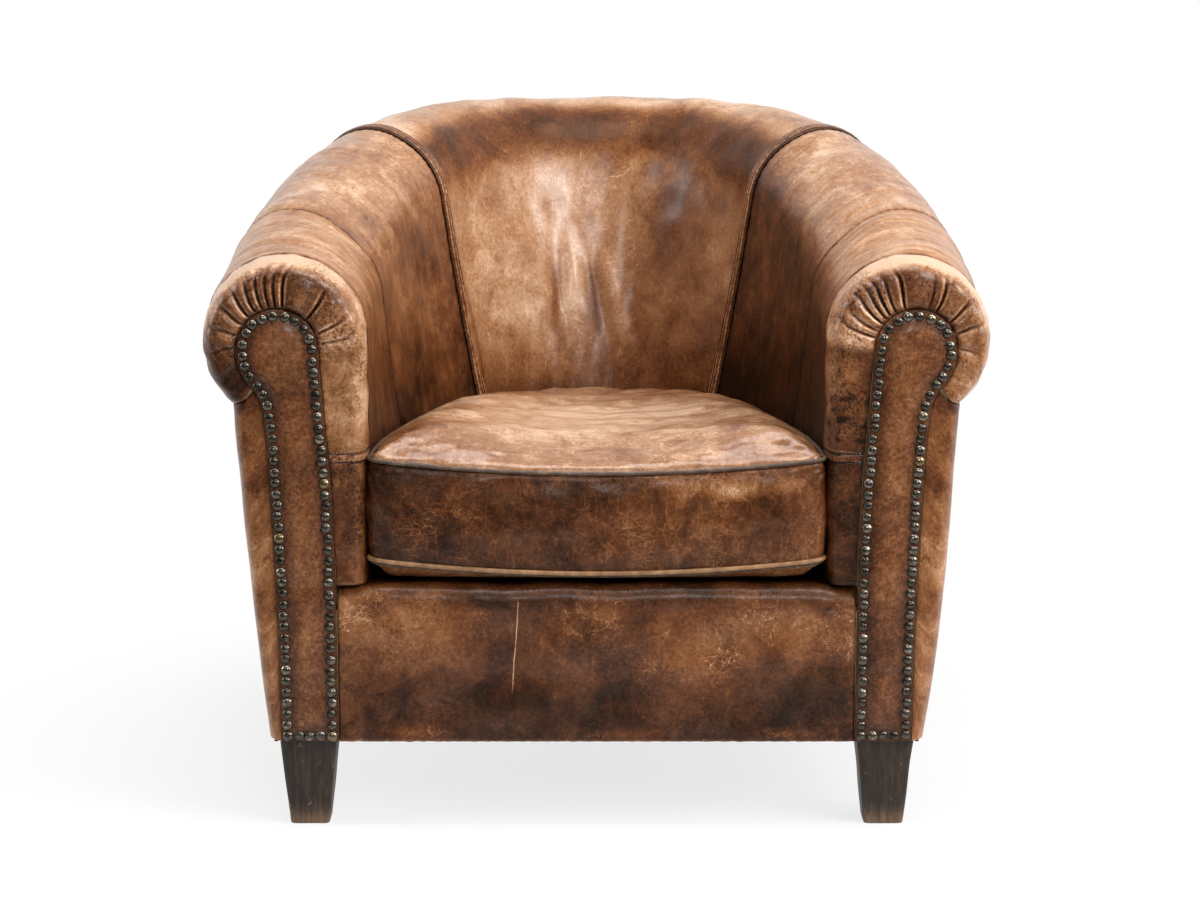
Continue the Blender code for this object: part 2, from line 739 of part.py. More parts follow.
def back_post(name, middle_t):
    """An upright between the base frame and the rail in the roll."""
    half = BACK_POST_WIDTH / 2 / HALF_LENGTH
    rings = []
    for t in (middle_t - half, middle_t + half):
        side = -1 if t < 1 else 1
        centre, outward = roll_frame(t if t < 1 else 2 - t)
        low = FRONT_RAIL_TOP + GAP
        high = roll_height(centre[1]) - TOP_RAIL_HEIGHT / 2 - 2 * GAP
        ring = []
        for out, z in ((POST_INNER, low), (POST_OUTER, low), (POST_OUTER, high), (POST_INNER, high)):
            ring.append((side * (centre[0] + outward[0] * out), centre[1] + outward[1] * out, z))
        rings.append(ring)
    return loft_rings(name, rings, BEECH)


back_post("back_post_left", BACK_POST_T)
back_post("back_post_right", 2 - BACK_POST_T)

block_inset = RAIL_DEEP + GAP
block_ts = [back_lines[0] + HAIR, back_lines[1], back_lines[2]]
front_blocks = {}
rear_blocks = {}
for side, word in SIDES:
    x0 = side * (RAIL_END_X + GAP)
    x1 = side * FRONT_BLOCK_X
    front_blocks[word] = box("front_corner_block_" + word, (min(x0, x1), BEHIND_POST, HEM_Z),
                             (max(x0, x1), BEHIND_POST + BLOCK_DEPTH, BLOCK_TOP), BEECH)
    ts = block_ts if side < 0 else mirror_ts(block_ts)
    rear_blocks[word] = bent_board("rear_corner_block_" + word, ts, block_inset, block_inset + BLOCK_DEPTH,
                                   HEM_Z, BLOCK_TOP, BEECH)

# ---------------------------------------------------------------- legs and their bolts


def leg(name, x, d, splay, rake):
    """A square tapered leg, its foot set outwards by the splay and back by the rake."""
    rings = []
    for z, width, out, back in ((LEG_HEIGHT, LEG_TOP, 0.0, 0.0), (0.0, LEG_FOOT, splay, rake)):
        half = width / 2
        ring = []
        for i, j in ((-1, -1), (1, -1), (1, 1), (-1, 1)):
            ring.append((x + i * half + out, d + j * half + back, z))
        rings.append(ring)
    return loft_rings(name, rings, DARK_WOOD)


rear_x, rear_d, _ = hem_point(REAR_LEG_T, REAR_LEG_INSET, 0.0)
leg_places = []
for side, word in SIDES:
    rear_at = (side * abs(rear_x), rear_d)
    front_bolt_at = (side * (RAIL_END_X + FRONT_BOLT_IN[0]), BEHIND_POST + FRONT_BOLT_IN[1])
    leg_places += [(side * FRONT_LEG_X, FRONT_LEG_D), rear_at]
    front_leg = leg("front_leg_" + word, side * FRONT_LEG_X, FRONT_LEG_D, 0.0, 0.0)
    rear_leg = leg("rear_leg_" + word, *rear_at, side * REAR_LEG_SPLAY, REAR_LEG_RAKE)
    for where, leg_obj, block, at in (("front", front_leg, front_blocks[word], front_bolt_at),
                                      ("rear", rear_leg, rear_blocks[word], rear_at)):
        hole = cylinder(f"{where}_hole_{word}", at, BOLT_HOLE, BOLT_FOOT - GAP, BOLT_TOP + GAP, STEEL,
                        collection=cutters)
        boolean(leg_obj, "DIFFERENCE", hole)
        boolean(block, "DIFFERENCE", hole)
        cylinder(f"{where}_leg_bolt_{word}", at, BOLT_RADIUS, BOLT_FOOT, BOLT_TOP, STEEL)


def plan_plate(name, half_width, depth, power, d0, z0, z1, steps, mat):
    """A flat plate with a straight front at d0 and a back rounded like the tub."""
    start = math.asin((d0 / depth) ** (power / 2))
    outline = []
    for angle in np.linspace(start, math.pi - start, steps + 1).tolist():
        x = half_width * math.copysign(abs(math.cos(angle)) ** (2 / power), math.cos(angle))
        outline.append((x, depth * math.sin(angle) ** (2 / power)))
    return loft_rings(name, [[(x, d, z) for x, d in outline] for z in (z0, z1)], mat)


dust_cover = plan_plate("dust_cover", HEM_HALF_WIDTH - DUST_COVER_INSET, HEM_DEPTH - DUST_COVER_INSET,
                        HEM_POWER, DUST_COVER_FRONT_D, HEM_Z - GAP - DUST_COVER_THICK, HEM_Z - GAP, 24,
                        BLACK_CLOTH)
for k, (x, d) in enumerate(leg_places):
    half = LEG_TOP / 2 + LEG_CLEAR
    hole = box(f"leg_opening_{k}", (x - half, d - half, LEG_HEIGHT - half),
               (x + half, d + half, LEG_HEIGHT + half), BLACK_CLOTH, cutters)
    boolean(dust_cover, "DIFFERENCE", hole)

# ---------------------------------------------------------------- seat: webbing, deck and front rail cover
strap_z = SIDE_RAIL_TOP + GAP
for k, d in enumerate(CROSS_STRAP_D):
    centre_t = way_at_depth(d)
    half_length = hem_point(2 - centre_t, RAIL_INSET, 0.0)[0] - CROSS_STRAP_SHORT
    box(f"cross_strap_{k + 1}", (-half_length, d - STRAP_WIDTH / 2, strap_z),
        (half_length, d + STRAP_WIDTH / 2, strap_z + STRAP_THICK), JUTE)
strap_z = FRONT_RAIL_TOP + GAP
for k, (x, back_d) in enumerate(LONG_STRAPS):
    box(f"long_strap_{k + 1}", (x - STRAP_WIDTH / 2, FRAME_D + LONG_STRAP_FRONT, strap_z),
        (x + STRAP_WIDTH / 2, back_d, strap_z + STRAP_THICK), JUTE)

deck_pad_z = FRONT_RAIL_TOP + 2 * GAP + STRAP_THICK
cover_under = COVER_TOP - COVER_THICK
deck_x = DECK_HALF_WIDTH + DECK_EDGE_SIDE
deck_d = DECK_DEPTH + DECK_EDGE_BACK
plan_plate("deck_pad", deck_x, deck_d, ROLL_POWER, EDGE_PAD_BACK_D + GAP, deck_pad_z, cover_under - GAP, 22,
           FOAM)
plan_plate("deck_cover", deck_x, deck_d, ROLL_POWER, COVER_BACK_D + GAP, cover_under, COVER_TOP, 22, JUTE)


def rail_profile(offset, back_d, foot_z):
    """The line of the front rail's cover, set in by an offset, as (d, z)."""
    radius = COVER_ROUND - offset
    line = [(COVER_D + offset, foot_z)]
    for k in range(5):
        angle = math.pi / 2 * k / 4
        line.append((COVER_D + COVER_ROUND - radius * math.cos(angle),
                     COVER_TOP - COVER_ROUND + radius * math.sin(angle)))
    line.append((back_d, COVER_TOP - offset))
    return line


cover_line = rail_profile(0.0, COVER_BACK_D, HEM_Z)
cover_line += reversed(rail_profile(COVER_THICK, COVER_BACK_D, HEM_Z))
loft_rings("front_rail_cover",
           [[(x, d, z) for d, z in cover_line] for x in (-COVER_HALF_WIDTH, COVER_HALF_WIDTH)],
           DARK_LEATHER)
edge_line = rail_profile(COVER_THICK + GAP, EDGE_PAD_BACK_D, deck_pad_z) + [(EDGE_PAD_BACK_D, deck_pad_z)]
loft_rings("rail_edge_pad",
           [[(x, d, z) for d, z in edge_line] for x in (-COVER_HALF_WIDTH, COVER_HALF_WIDTH)], FOAM)

# ---------------------------------------------------------------- arm facings with their nails


def facing(name, side):
    outline = [(side * x, z) for x, z in facing_outline(2, 10)]
    plate = extrude_outline(name, outline, FACING_D, FRAME_D - GAP, NAILED_LEATHER)
    bm = bmesh.new()
    for x, z in nail_places():
        centre = world(side * x, FACING_D + (NAIL_SUNK - NAIL_HEIGHT) / 2, z)
        place = Matrix.Translation(centre) @ Matrix.Rotation(math.pi / 2, 4, "X")
        bmesh.ops.create_cone(bm, cap_ends=True, segments=NAIL_SIDES, radius1=NAIL_RADIUS, radius2=0.0,
                              depth=NAIL_SUNK + NAIL_HEIGHT, matrix=place)
    nails = finish_bmesh("nails_of_" + name, bm, STEEL, cutters)
    plate.data.shade_flat()
    nails.data.shade_flat()
    boolean(plate, "UNION", nails)


facing("arm_facing_left", -1)
facing("arm_facing_right", 1)

# ---------------------------------------------------------------- loose seat cushion and its welts
CUSHION_SIDE_STEPS = 11
CUSHION_CORNER_STEPS = 5
CUSHION_FRONT_STEPS = 3
CUSHION_MIDDLE = (0.0, 0.245)
CORNER_POWER = 3.0
CORNER_WIDTH = 1.1


def inner_face_point(t, z):
    """A point just off the tub's inner leather at a height."""
    low = tub(t, 0.0, -CUSHION_GAP)
    high = tub(t, 1.0, -CUSHION_GAP)
    w = (z - low[2]) / (high[2] - low[2])
    return tuple(low[i] + (high[i] - low[i]) * w for i in range(3))


def cushion_outline(z, front_steps):
    """The cushion's outline in plan at a height: against the tub at sides and back, free in front."""
    t0 = way_at_depth(CUSHION_CORNER_D)
    right = [inner_face_point(2 - t, z) for t in np.linspace(t0, 1.0, CUSHION_SIDE_STEPS)]
    corner = []
    start_x, start_d, _ = right[0]
    reach_d = start_d - CUSHION_FRONT_D
    width = reach_d * CORNER_WIDTH
    for k in range(CUSHION_CORNER_STEPS, 0, -1):
        angle = math.pi / 2 * k / CUSHION_CORNER_STEPS
        x = start_x - width * (1 - math.cos(angle) ** (2 / CORNER_POWER))
        corner.append((x, start_d - reach_d * math.sin(angle) ** (2 / CORNER_POWER), z))
    front = []
    for k in range(front_steps):
        front.append((corner[0][0] * k / front_steps, CUSHION_FRONT_D, z))
    half = front + corner + right
    left = [(-x, d, z) for x, d, z in reversed(half[1:-1])]
    return half + left


def cushion_ring(z, inset, droop):
    """An outline drawn in towards the cushion's middle, sagging along the front by the droop."""
    outline = cushion_outline(min(max(z, LOWER_WELT_Z), UPPER_WELT_Z), CUSHION_FRONT_STEPS)
    square_inset = min(inset, WELT_SEAT)
    ring = []
    for k, (x, d, _) in enumerate(outline):
        before = outline[k - 1]
        after = outline[(k + 1) % len(outline)]
        along = Vector((after[0] - before[0], after[1] - before[1])).normalized()
        x -= along.y * square_inset
        d += along.x * square_inset
        away = (x - CUSHION_MIDDLE[0], d - CUSHION_MIDDLE[1])
        share = 1 - (inset - square_inset) / math.hypot(*away)
        frontness = max(0.0, 1 - d / CUSHION_CORNER_D) if d < CUSHION_CORNER_D else 0.0
        lift = droop * (1 - frontness * (1 - (abs(x) / DECK_HALF_WIDTH) ** 2))
        ring.append((away[0] * share, CUSHION_MIDDLE[1] + away[1] * share, z + lift))
    return ring


WELT_NOTCH = 0.0046
CUSHION_PROFILE = [
    (CUSHION_FOOT, 0.060, 0.0),
    (CUSHION_FOOT + 0.001, 0.025, 0.3),
    (LOWER_WELT_Z - WELT_NOTCH, 0.0042, 1.0),
    (LOWER_WELT_Z, WELT_SEAT, 1.0),
    (LOWER_WELT_Z + WELT_NOTCH, 0.0042, 1.0),
    ((LOWER_WELT_Z + UPPER_WELT_Z) / 2, 0.0010, 1.0),
    (UPPER_WELT_Z - WELT_NOTCH, 0.0042, 1.0),
    (UPPER_WELT_Z, WELT_SEAT, 1.0),
    (UPPER_WELT_Z + WELT_NOTCH, 0.0045, 1.0),
    (UPPER_WELT_Z + 0.020, 0.020, 0.7),
    (UPPER_WELT_Z + 0.036, 0.060, 0.3),
    (CUSHION_TOP, 0.130, 0.0),
]
rings = [cushion_ring(z, inset, WELT_DROOP * share) for z, inset, share in CUSHION_PROFILE]
loft_rings("seat_cushion", rings, BROWN_LEATHER)


def welt(name, z):
    """A corded piping round the cushion."""
    line = cushion_ring(z, WELT_OUT, WELT_DROOP)
    rings = []
    for k, point in enumerate(line):
        before = Vector(line[k - 1])
        after = Vector(line[(k + 1) % len(line)])
        along = (after - before).normalized()
        out = Vector((along.y, -along.x, 0)).normalized()
        up = out.cross(along)
        ring = []
        for i in range(WELT_SIDES):
            angle = 2 * math.pi * (i + 0.5) / WELT_SIDES
            ring.append(tuple(Vector(point) + WELT_RADIUS * (out * math.cos(angle) + up * math.sin(angle))))
        rings.append(ring)
    loft_rings(name, rings, WELT_LEATHER, closed=True)


welt("cushion_welt_top", UPPER_WELT_Z)
welt("cushion_welt_bottom", LOWER_WELT_Z)
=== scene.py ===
# %% [markdown]
# # A worn club chair
# A club chair is a low armchair with a back and arms in one curve, like a tub. This one has scroll
# arms with nailed facings, a loose seat cushion and waxed leather that years of use have rubbed
# pale on top and left dark in the folds. This notebook dresses the solid model of that chair: it
# lays skins of leather over the solids, sews and nails them, and lights the result.
#
# The solids come first, as a frame that never moves. Every piece made here rides on the frame's
# one body, because nothing on the chair turns or slides.

# %% Load the solid model
import bpy
import bmesh
import math
import numpy as np
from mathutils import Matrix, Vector


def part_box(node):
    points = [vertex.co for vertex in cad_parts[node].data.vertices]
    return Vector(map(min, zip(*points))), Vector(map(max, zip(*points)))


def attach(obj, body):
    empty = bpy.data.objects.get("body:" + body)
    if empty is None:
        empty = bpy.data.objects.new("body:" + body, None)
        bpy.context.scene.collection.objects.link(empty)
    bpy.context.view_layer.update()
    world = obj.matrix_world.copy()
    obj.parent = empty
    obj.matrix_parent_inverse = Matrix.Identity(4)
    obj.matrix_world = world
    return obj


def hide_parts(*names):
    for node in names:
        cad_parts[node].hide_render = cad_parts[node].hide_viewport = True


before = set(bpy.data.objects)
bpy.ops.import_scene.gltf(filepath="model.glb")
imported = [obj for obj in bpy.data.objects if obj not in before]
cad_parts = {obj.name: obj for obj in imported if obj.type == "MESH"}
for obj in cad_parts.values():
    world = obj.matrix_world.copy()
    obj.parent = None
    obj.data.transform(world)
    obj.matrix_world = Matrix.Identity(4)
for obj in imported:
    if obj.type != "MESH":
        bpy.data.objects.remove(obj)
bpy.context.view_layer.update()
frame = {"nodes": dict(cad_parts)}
nodes = frame["nodes"]

# %% [markdown]
# ## The sizes of the tub
# The solid model lays every layer of the tub from one rule, and the skins below follow the same
# rule, so these sizes are the solid model's own, in metres. Heights are z, depths d are counted
# from the front plane to the back, and CENTRE_D moves them to the middle of the chair.

# %% Sizes of the tub, the facings and the cushion
ROLL_RADIUS, ROLL_HALF_WIDTH, ROLL_DEPTH, ROLL_POWER = 0.088, 0.336, 0.661, 2.2
ARM_TOP, BACK_TOP, RISE_POWER, CREASE_OUT = 0.6225, 0.7720, 1.3, 0.0566
DECK_Z, DECK_HALF_WIDTH, DECK_DEPTH = 0.2723, 0.250, 0.463
HEM_Z, HEM_HALF_WIDTH, HEM_DEPTH, HEM_POWER, OUTSIDE_BULGE = 0.098, 0.359, 0.690, 2.3, 0.004
LEATHER, GAP, SEAM_STRIP = 0.0025, 0.0003, 0.009
FACE_D, FACING_D, FRAME_D, EDGE_ROUND_DEPTH, EDGE_ROUND_SIDE = 0.003, 0.001, 0.0061, 0.027, 0.0145
ARCH_X, ARCH_Z, ARCH_RADIUS, SCROLL_TURN = 0.342, 0.529, 0.044, math.radians(222)
NAIL_HEIGHT, NAIL_RADIUS, NAIL_PITCH, NAIL_INSET = 0.003, 0.0055, 0.0122, 0.0068
COVER_D, COVER_THICK, COVER_HALF_WIDTH, COVER_TOP = 0.0023, 0.0035, 0.2817, 0.272
COVER_ROUND, COVER_BACK_D = 0.020, 0.075
CENTRE_D = (ROLL_DEPTH + ROLL_RADIUS + FACING_D - NAIL_HEIGHT) / 2
SIDES = ((-1, "left"), (1, "right"))

# %% [markdown]
# ## The roll's line
# Seen from above, the middle of the padded roll runs along a superellipse, which is a rounded
# shape between an ellipse and a box. Its length is measured once, so that t can say how far along
# the roll a point lies: 0 at the left front, 1 at the middle of the back, 2 at the right front.

# %% Plan of the roll
turn = np.linspace(0, math.pi / 2, 2001)
line_x = ROLL_HALF_WIDTH * np.abs(np.cos(turn)) ** (2 / ROLL_POWER)
line_d = ROLL_DEPTH * np.sin(turn) ** (2 / ROLL_POWER)
line_x[-1] = 0.0
line_way = np.concatenate([[0.0], np.cumsum(np.hypot(np.diff(line_x), np.diff(line_d)))])
HALF_LENGTH = float(line_way[-1])
line_way /= HALF_LENGTH


def plan(s):
    """The roll's centre (x, d) and its outward direction at each share s of the right half."""
    before, after = np.clip(s - 0.001, 0, 1), np.clip(s + 0.001, 0, 1)
    dx = np.interp(after, line_way, line_x) - np.interp(before, line_way, line_x)
    dd = np.interp(after, line_way, line_d) - np.interp(before, line_way, line_d)
    length = np.hypot(dx, dd)
    return np.interp(s, line_way, line_x), np.interp(s, line_way, line_d), dd / length, -dx / length


def reach(s, half_width, depth, power, nearest=-0.30, farthest=0.10, halvings=40):
    """Distance from the roll's centre, along its outward direction, to another plan curve."""
    x, d, ox, od = plan(s)
    low, high = np.full_like(s, nearest), np.full_like(s, farthest)
    for _ in range(halvings):
        middle = (low + high) / 2
        wide, deep = np.abs((x + ox * middle) / half_width), np.abs((d + od * middle) / depth)
        low, high = np.where(wide ** power + deep ** power < 1, (middle, high), (low, middle))
    return low


TABLE = np.linspace(0, 1, 601)
deck_table = -reach(TABLE, DECK_HALF_WIDTH, DECK_DEPTH, ROLL_POWER)
hem_table = reach(TABLE, HEM_HALF_WIDTH, HEM_DEPTH, HEM_POWER)
print("half of the roll's line is", round(HALF_LENGTH, 3), "m long")

# %% [markdown]
# ## The tub's section
# Cut across, the tub is a straight inner wall, a round roll and a straight outer wall. The number
# v says where a point lies on that line: 0 at the seat deck, 1 where the wall meets the roll, 2 in
# the crease under the roll and 3 at the hem. Working on whole arrays of t and v at once makes a
# skin of fifty thousand points in a blink.

# %% Section of the tub


def section(s, v, inset):
    """Centre (x, d, z), outward direction and offset (out, up) of points of the tub's section."""
    x, d, ox, od = plan(s)
    z = ARM_TOP + (BACK_TOP - ARM_TOP) * np.sin(math.pi / 2 * np.clip(d / ROLL_DEPTH, 0, 1)) ** RISE_POWER
    z = z - ROLL_RADIUS
    deck, hem = np.interp(s, TABLE, deck_table), np.interp(s, TABLE, hem_table) - inset
    rise = z - DECK_Z
    lean = np.arccos(ROLL_RADIUS / np.hypot(deck, rise)) - np.arctan2(rise, deck)
    radius = ROLL_RADIUS - inset
    crease = 2 * math.pi - np.arccos(-(CREASE_OUT - inset) / radius)
    w = np.clip(v, 0, 1)
    wall = ((inset / np.cos(lean) - deck) * (1 - w) - radius * np.cos(lean) * w,
            -rise * (1 - w) + radius * np.sin(lean) * w)
    angle = lean + (crease - lean) * np.clip(v - 1, 0, 1)
    roll = (-radius * np.cos(angle), radius * np.sin(angle))
    w = np.clip(v - 2, 0, 1)
    top = CREASE_OUT - inset
    side = (top + (hem - top) * w + OUTSIDE_BULGE * np.sin(math.pi * w),
            radius * np.sin(crease) * (1 - w) + (HEM_Z - z) * w)
    out, up = (np.where(v <= 1, wall[k], np.where(v <= 2, roll[k], side[k])) for k in range(2))
    return x, d, z, ox, od, out, up


def tub(t, v, inset=0.0):
    """Points of the tub's surface, in the chair's own space."""
    t, v, inset = np.broadcast_arrays(np.asarray(t, float), np.asarray(v, float), np.asarray(inset, float))
    x, d, z, ox, od, out, up = section(np.where(t < 1, t, 2 - t), v, inset)
    return np.stack([np.where(t < 1, -1, 1) * (x + ox * out), d + od * out - CENTRE_D, z + up], -1)


def way_at_depth(d):
    """The t of the left arm where the roll's centre lies at depth d."""
    return np.interp(d, line_d, line_way)


print("crest of the back at z", round(float(tub(1.0, 1.45)[2]), 3))

# %% [markdown]
# ## The seams
# Each side has three seams that cross the roll: one just behind the scroll, one halfway along the
# arm and one where the arm becomes the back. They lean forward on the way down, so each is a
# function of v.

# %% Where the seams run


def seam(number, v):
    """The t of a seam at each v; seams 4 to 6 mirror 3 to 1."""
    if number > 3:
        return 2 - seam(7 - number, v)
    upper = np.minimum(v, 2.0)
    if number == 1:
        return np.where(v <= 2, 0.050 + 0.030 * (v - 1.3) ** 2, 0.065)
    if number == 2:
        return 0.172 + 0.175 * np.hypot(upper - 1.2, 0.05)
    return 0.525 + 0.075 * np.hypot(upper - 1.25, 0.05)


for number in (1, 2, 3):
    print("seam", number, "crosses the crest", round(float(seam(number, 1.5)) * HALF_LENGTH, 3), "m along")

# %% [markdown]
# ## From a grid of points to a skin
# Leather is a sheet of even thickness. Each skin is a grid of points for the side that is seen,
# a second grid for the side on the padding, and walls round the rim that close it. The visible
# side is raised and sunk along its own normals, which is how folds, gathers and puckers are
# modelled. Masks are numbers on the points, and the leather's material reads them.

# %% Small shapes that everything is made of


def smooth(x, low, high):
    """0 at low, 1 at high and a soft curve between them."""
    w = np.clip((x - low) / (high - low), 0, 1)
    return w * w * (3 - 2 * w)


def bell(x, middle, width):
    """1 at the middle, fading to both sides over the width."""
    return np.exp(-((x - middle) / width) ** 2)


def fading(distance, length):
    """1 at no distance, fading away over the length."""
    return np.exp(-distance / length)


def waves(u, w, size, seed, stretch=1.0, count=12):
    """Soft random swells of about one size; stretch makes them longer along w."""
    dice = np.random.default_rng(seed)
    total = np.zeros(np.broadcast(u, w).shape)
    for heading, phase, pitch in dice.uniform((0, 0, 0.7), (2 * math.pi, 2 * math.pi, 1.5), (count, 3)):
        way = u * math.cos(heading) + w * math.sin(heading) / stretch
        total += np.sin(2 * math.pi * way / (size * pitch) + phase)
    return total / math.sqrt(count)


def ridges(u, w, table):
    """Long soft folds, each given as (u, w, length, width, lean in degrees, height)."""
    total = np.zeros(np.broadcast(u, w).shape)
    for at_u, at_w, length, width, lean, height in table:
        c, s = math.cos(math.radians(lean)), math.sin(math.radians(lean))
        along, beside = (w - at_w) * c + (u - at_u) * s, (u - at_u) * c - (w - at_w) * s
        beside = beside + 0.12 * along * np.abs(along) / length
        total += height * np.exp(-(beside / width) ** 2 - np.abs(along / length) ** 3)
    return total


def spots(u, w, table):
    """Round soft patches, each given as (u, w, half width, half height, strength)."""
    return sum(much * bell(u, at_u, wide) * bell(w, at_w, tall) for at_u, at_w, wide, tall, much in table)


def edge_turn(distance, radius=0.0019):
    """How far a sewn edge has turned under, at a distance from it."""
    short = np.clip(radius - distance, 0, radius)
    return radius - np.sqrt(radius ** 2 - short ** 2)


def normals(grid):
    """Unit normals of a grid whose columns run along and whose rows run up."""
    normal = np.cross(np.gradient(grid, axis=1), np.gradient(grid, axis=0))
    return normal / np.maximum(np.linalg.norm(normal, axis=-1, keepdims=True), 1e-12)


def relief(grid, height):
    """The grid with every point raised along its normal."""
    return grid + normals(grid) * height[..., None]


# %% Pieces and skins


def new_piece(name, mesh):
    """An object that shows a mesh, in the scene."""
    piece = bpy.data.objects.new(name, mesh)
    bpy.context.scene.collection.objects.link(piece)
    return piece


def applied(piece):
    """The plain mesh that a piece's modifiers make of it."""
    return bpy.data.meshes.new_from_object(piece.evaluated_get(bpy.context.evaluated_depsgraph_get()))


def finish_piece(piece, finish, replaced):
    """Gives a piece its material, hangs it on the chair's body and hides the solids that it stands for."""
    piece.data.materials.clear()
    piece.data.materials.append(finish)
    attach(piece, "root")
    if replaced:
        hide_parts(*replaced)
    print(f"  {piece.name}: {len(piece.data.polygons)} faces")


def add_masks(mesh, masks):
    """Writes each mask on the mesh's points, where materials can read it."""
    for mask, values in masks.items():
        layer = mesh.attributes.new(mask, "FLOAT", "POINT")
        layer.data.foreach_set("value", np.asarray(values, dtype=np.float32))


def mesh_piece(name, points, faces, uv=None, masks=None):
    """A smooth mesh object in the chair's space, turned the right way out."""
    mesh = bpy.data.meshes.new(name)
    mesh.from_pydata(np.asarray(points).tolist(), [], faces if isinstance(faces, list) else faces.tolist())
    bm = bmesh.new()
    bm.from_mesh(mesh)
    inside_out = bm.calc_volume(signed=True) < 0
    bm.free()
    if inside_out:
        mesh.flip_normals()
    if uv is not None:
        corner = np.empty(len(mesh.loops), dtype=np.int32)
        mesh.loops.foreach_get("vertex_index", corner)
        layer = mesh.uv_layers.new(name="leather")
        layer.data.foreach_set("uv", np.asarray(uv, dtype=np.float32)[corner].ravel())
    add_masks(mesh, masks or {})
    mesh.shade_smooth()
    return new_piece(name, mesh)


def stacked_rings(name, rings):
    """A closed piece from level rings of points, with a flat face at its foot and its top."""
    count, last = len(rings[0]), len(rings[0]) * (len(rings) - 1)
    faces = [[k + i, k + (i + 1) % count, k + count + (i + 1) % count, k + count + i]
             for k in range(0, last, count) for i in range(count)]
    faces += [list(range(count))[::-1], list(range(last, last + count))]
    return mesh_piece(name, np.concatenate(rings), faces)


def skin(name, outer, inner, uv, masks, mirrored=False):
    """A closed skin between the grid that is seen and the grid on its underside."""
    rows, columns = outer.shape[:2]
    size = rows * columns
    index = np.arange(size).reshape(rows, columns)
    a, b, c, d = index[:-1, :-1], index[:-1, 1:], index[1:, 1:], index[1:, :-1]
    front = np.stack([a, b, c, d], -1).reshape(-1, 4)
    rims = [(b[0], a[0]), (d[-1], c[-1]), (a[:, 0], d[:, 0]), (c[:, -1], b[:, -1])]
    walls = [np.stack([p, q, q + size, p + size], -1) for p, q in rims]
    faces = np.concatenate([front, front[:, ::-1] + size] + walls)
    points = np.concatenate([outer.reshape(-1, 3), inner.reshape(-1, 3)])
    if mirrored:
        points, faces = points * (-1, 1, 1), faces[:, ::-1]
    both = {mask: np.tile(np.broadcast_to(values, (rows, columns)).reshape(-1), 2)
            for mask, values in masks.items()}
    return mesh_piece(name, points, faces, np.tile(uv.reshape(-1, 2), (2, 1)), both)


def panel(name, outer, inner, uv, masks, finish, pads=(), mirrored=False):
    """A skin that takes the place of the solid of its own name, and of its pads."""
    finish_piece(skin(name, outer, inner, uv, masks, mirrored), finish, [name, *pads])


def surface_uv(grid, u):
    """How far each point lies along (given) and up (measured) the leather, in metres."""
    up = np.linalg.norm(np.diff(grid, axis=0), axis=-1)
    up = np.concatenate([np.zeros((1, grid.shape[1])), np.cumsum(up, 0)])
    return np.stack([np.broadcast_to(u, up.shape), up], -1)


# %% [markdown]
# ## A small language for node trees
# Nodes are easier to read as sums. A Value is one output of a node, and the usual signs make Math
# nodes from it, so that 1 - mask works. Colours go through Mix nodes instead, because a Math node
# would turn them grey. Nodes wraps any tree, and its node() makes a node in one call; Finish is a
# material, and Growth further down is a tree of Geometry Nodes.

# %% Values, trees and finishes


class Value:
    """An output of a node that can be used in sums."""

    def __init__(self, nodes, socket):
        self.nodes, self.socket = nodes, socket

    def math(self, operation, a, b=0.0):
        return self.nodes.node("ShaderNodeMath", {0: a, 1: b}, operation=operation)

    def __add__(self, other):
        return self.math("ADD", self, other)

    def __sub__(self, other):
        return self.math("SUBTRACT", self, other)

    def __rsub__(self, other):
        return self.math("SUBTRACT", other, self)

    def __mul__(self, other):
        return self.math("MULTIPLY", self, other)

    def greatest(self, other):
        return self.math("MAXIMUM", self, other)

    __radd__, __rmul__ = __add__, __mul__

    def ramp(self, low, high, bottom=0.0, top=1.0, shape="SMOOTHSTEP"):
        """The bottom below low, the top above high and a soft curve between them."""
        return self.nodes.node("ShaderNodeMapRange", {0: self, 1: low, 2: high, 3: bottom, 4: top},
                               interpolation_type=shape)

    def axis(self, number):
        """One axis of a direction or place."""
        return self.nodes.node("ShaderNodeSeparateXYZ", {0: self}, number)


class Nodes:
    """A node tree whose nodes are each made in one call."""

    def __init__(self, tree):
        self.tree = tree

    def node(self, kind, values=None, output=0, **settings):
        """Makes a node, sets it, links or sets its inputs, and gives one of its outputs."""
        node = self.tree.nodes.new(kind)
        for key, value in settings.items():
            setattr(node, key, value)
        for key, value in (values or {}).items():
            self.set(node.inputs[key], value)
        return Value(self, node.outputs[output])

    def set(self, socket, value):
        if isinstance(value, Value):
            self.tree.links.new(value.socket, socket)
        else:
            socket.default_value = value


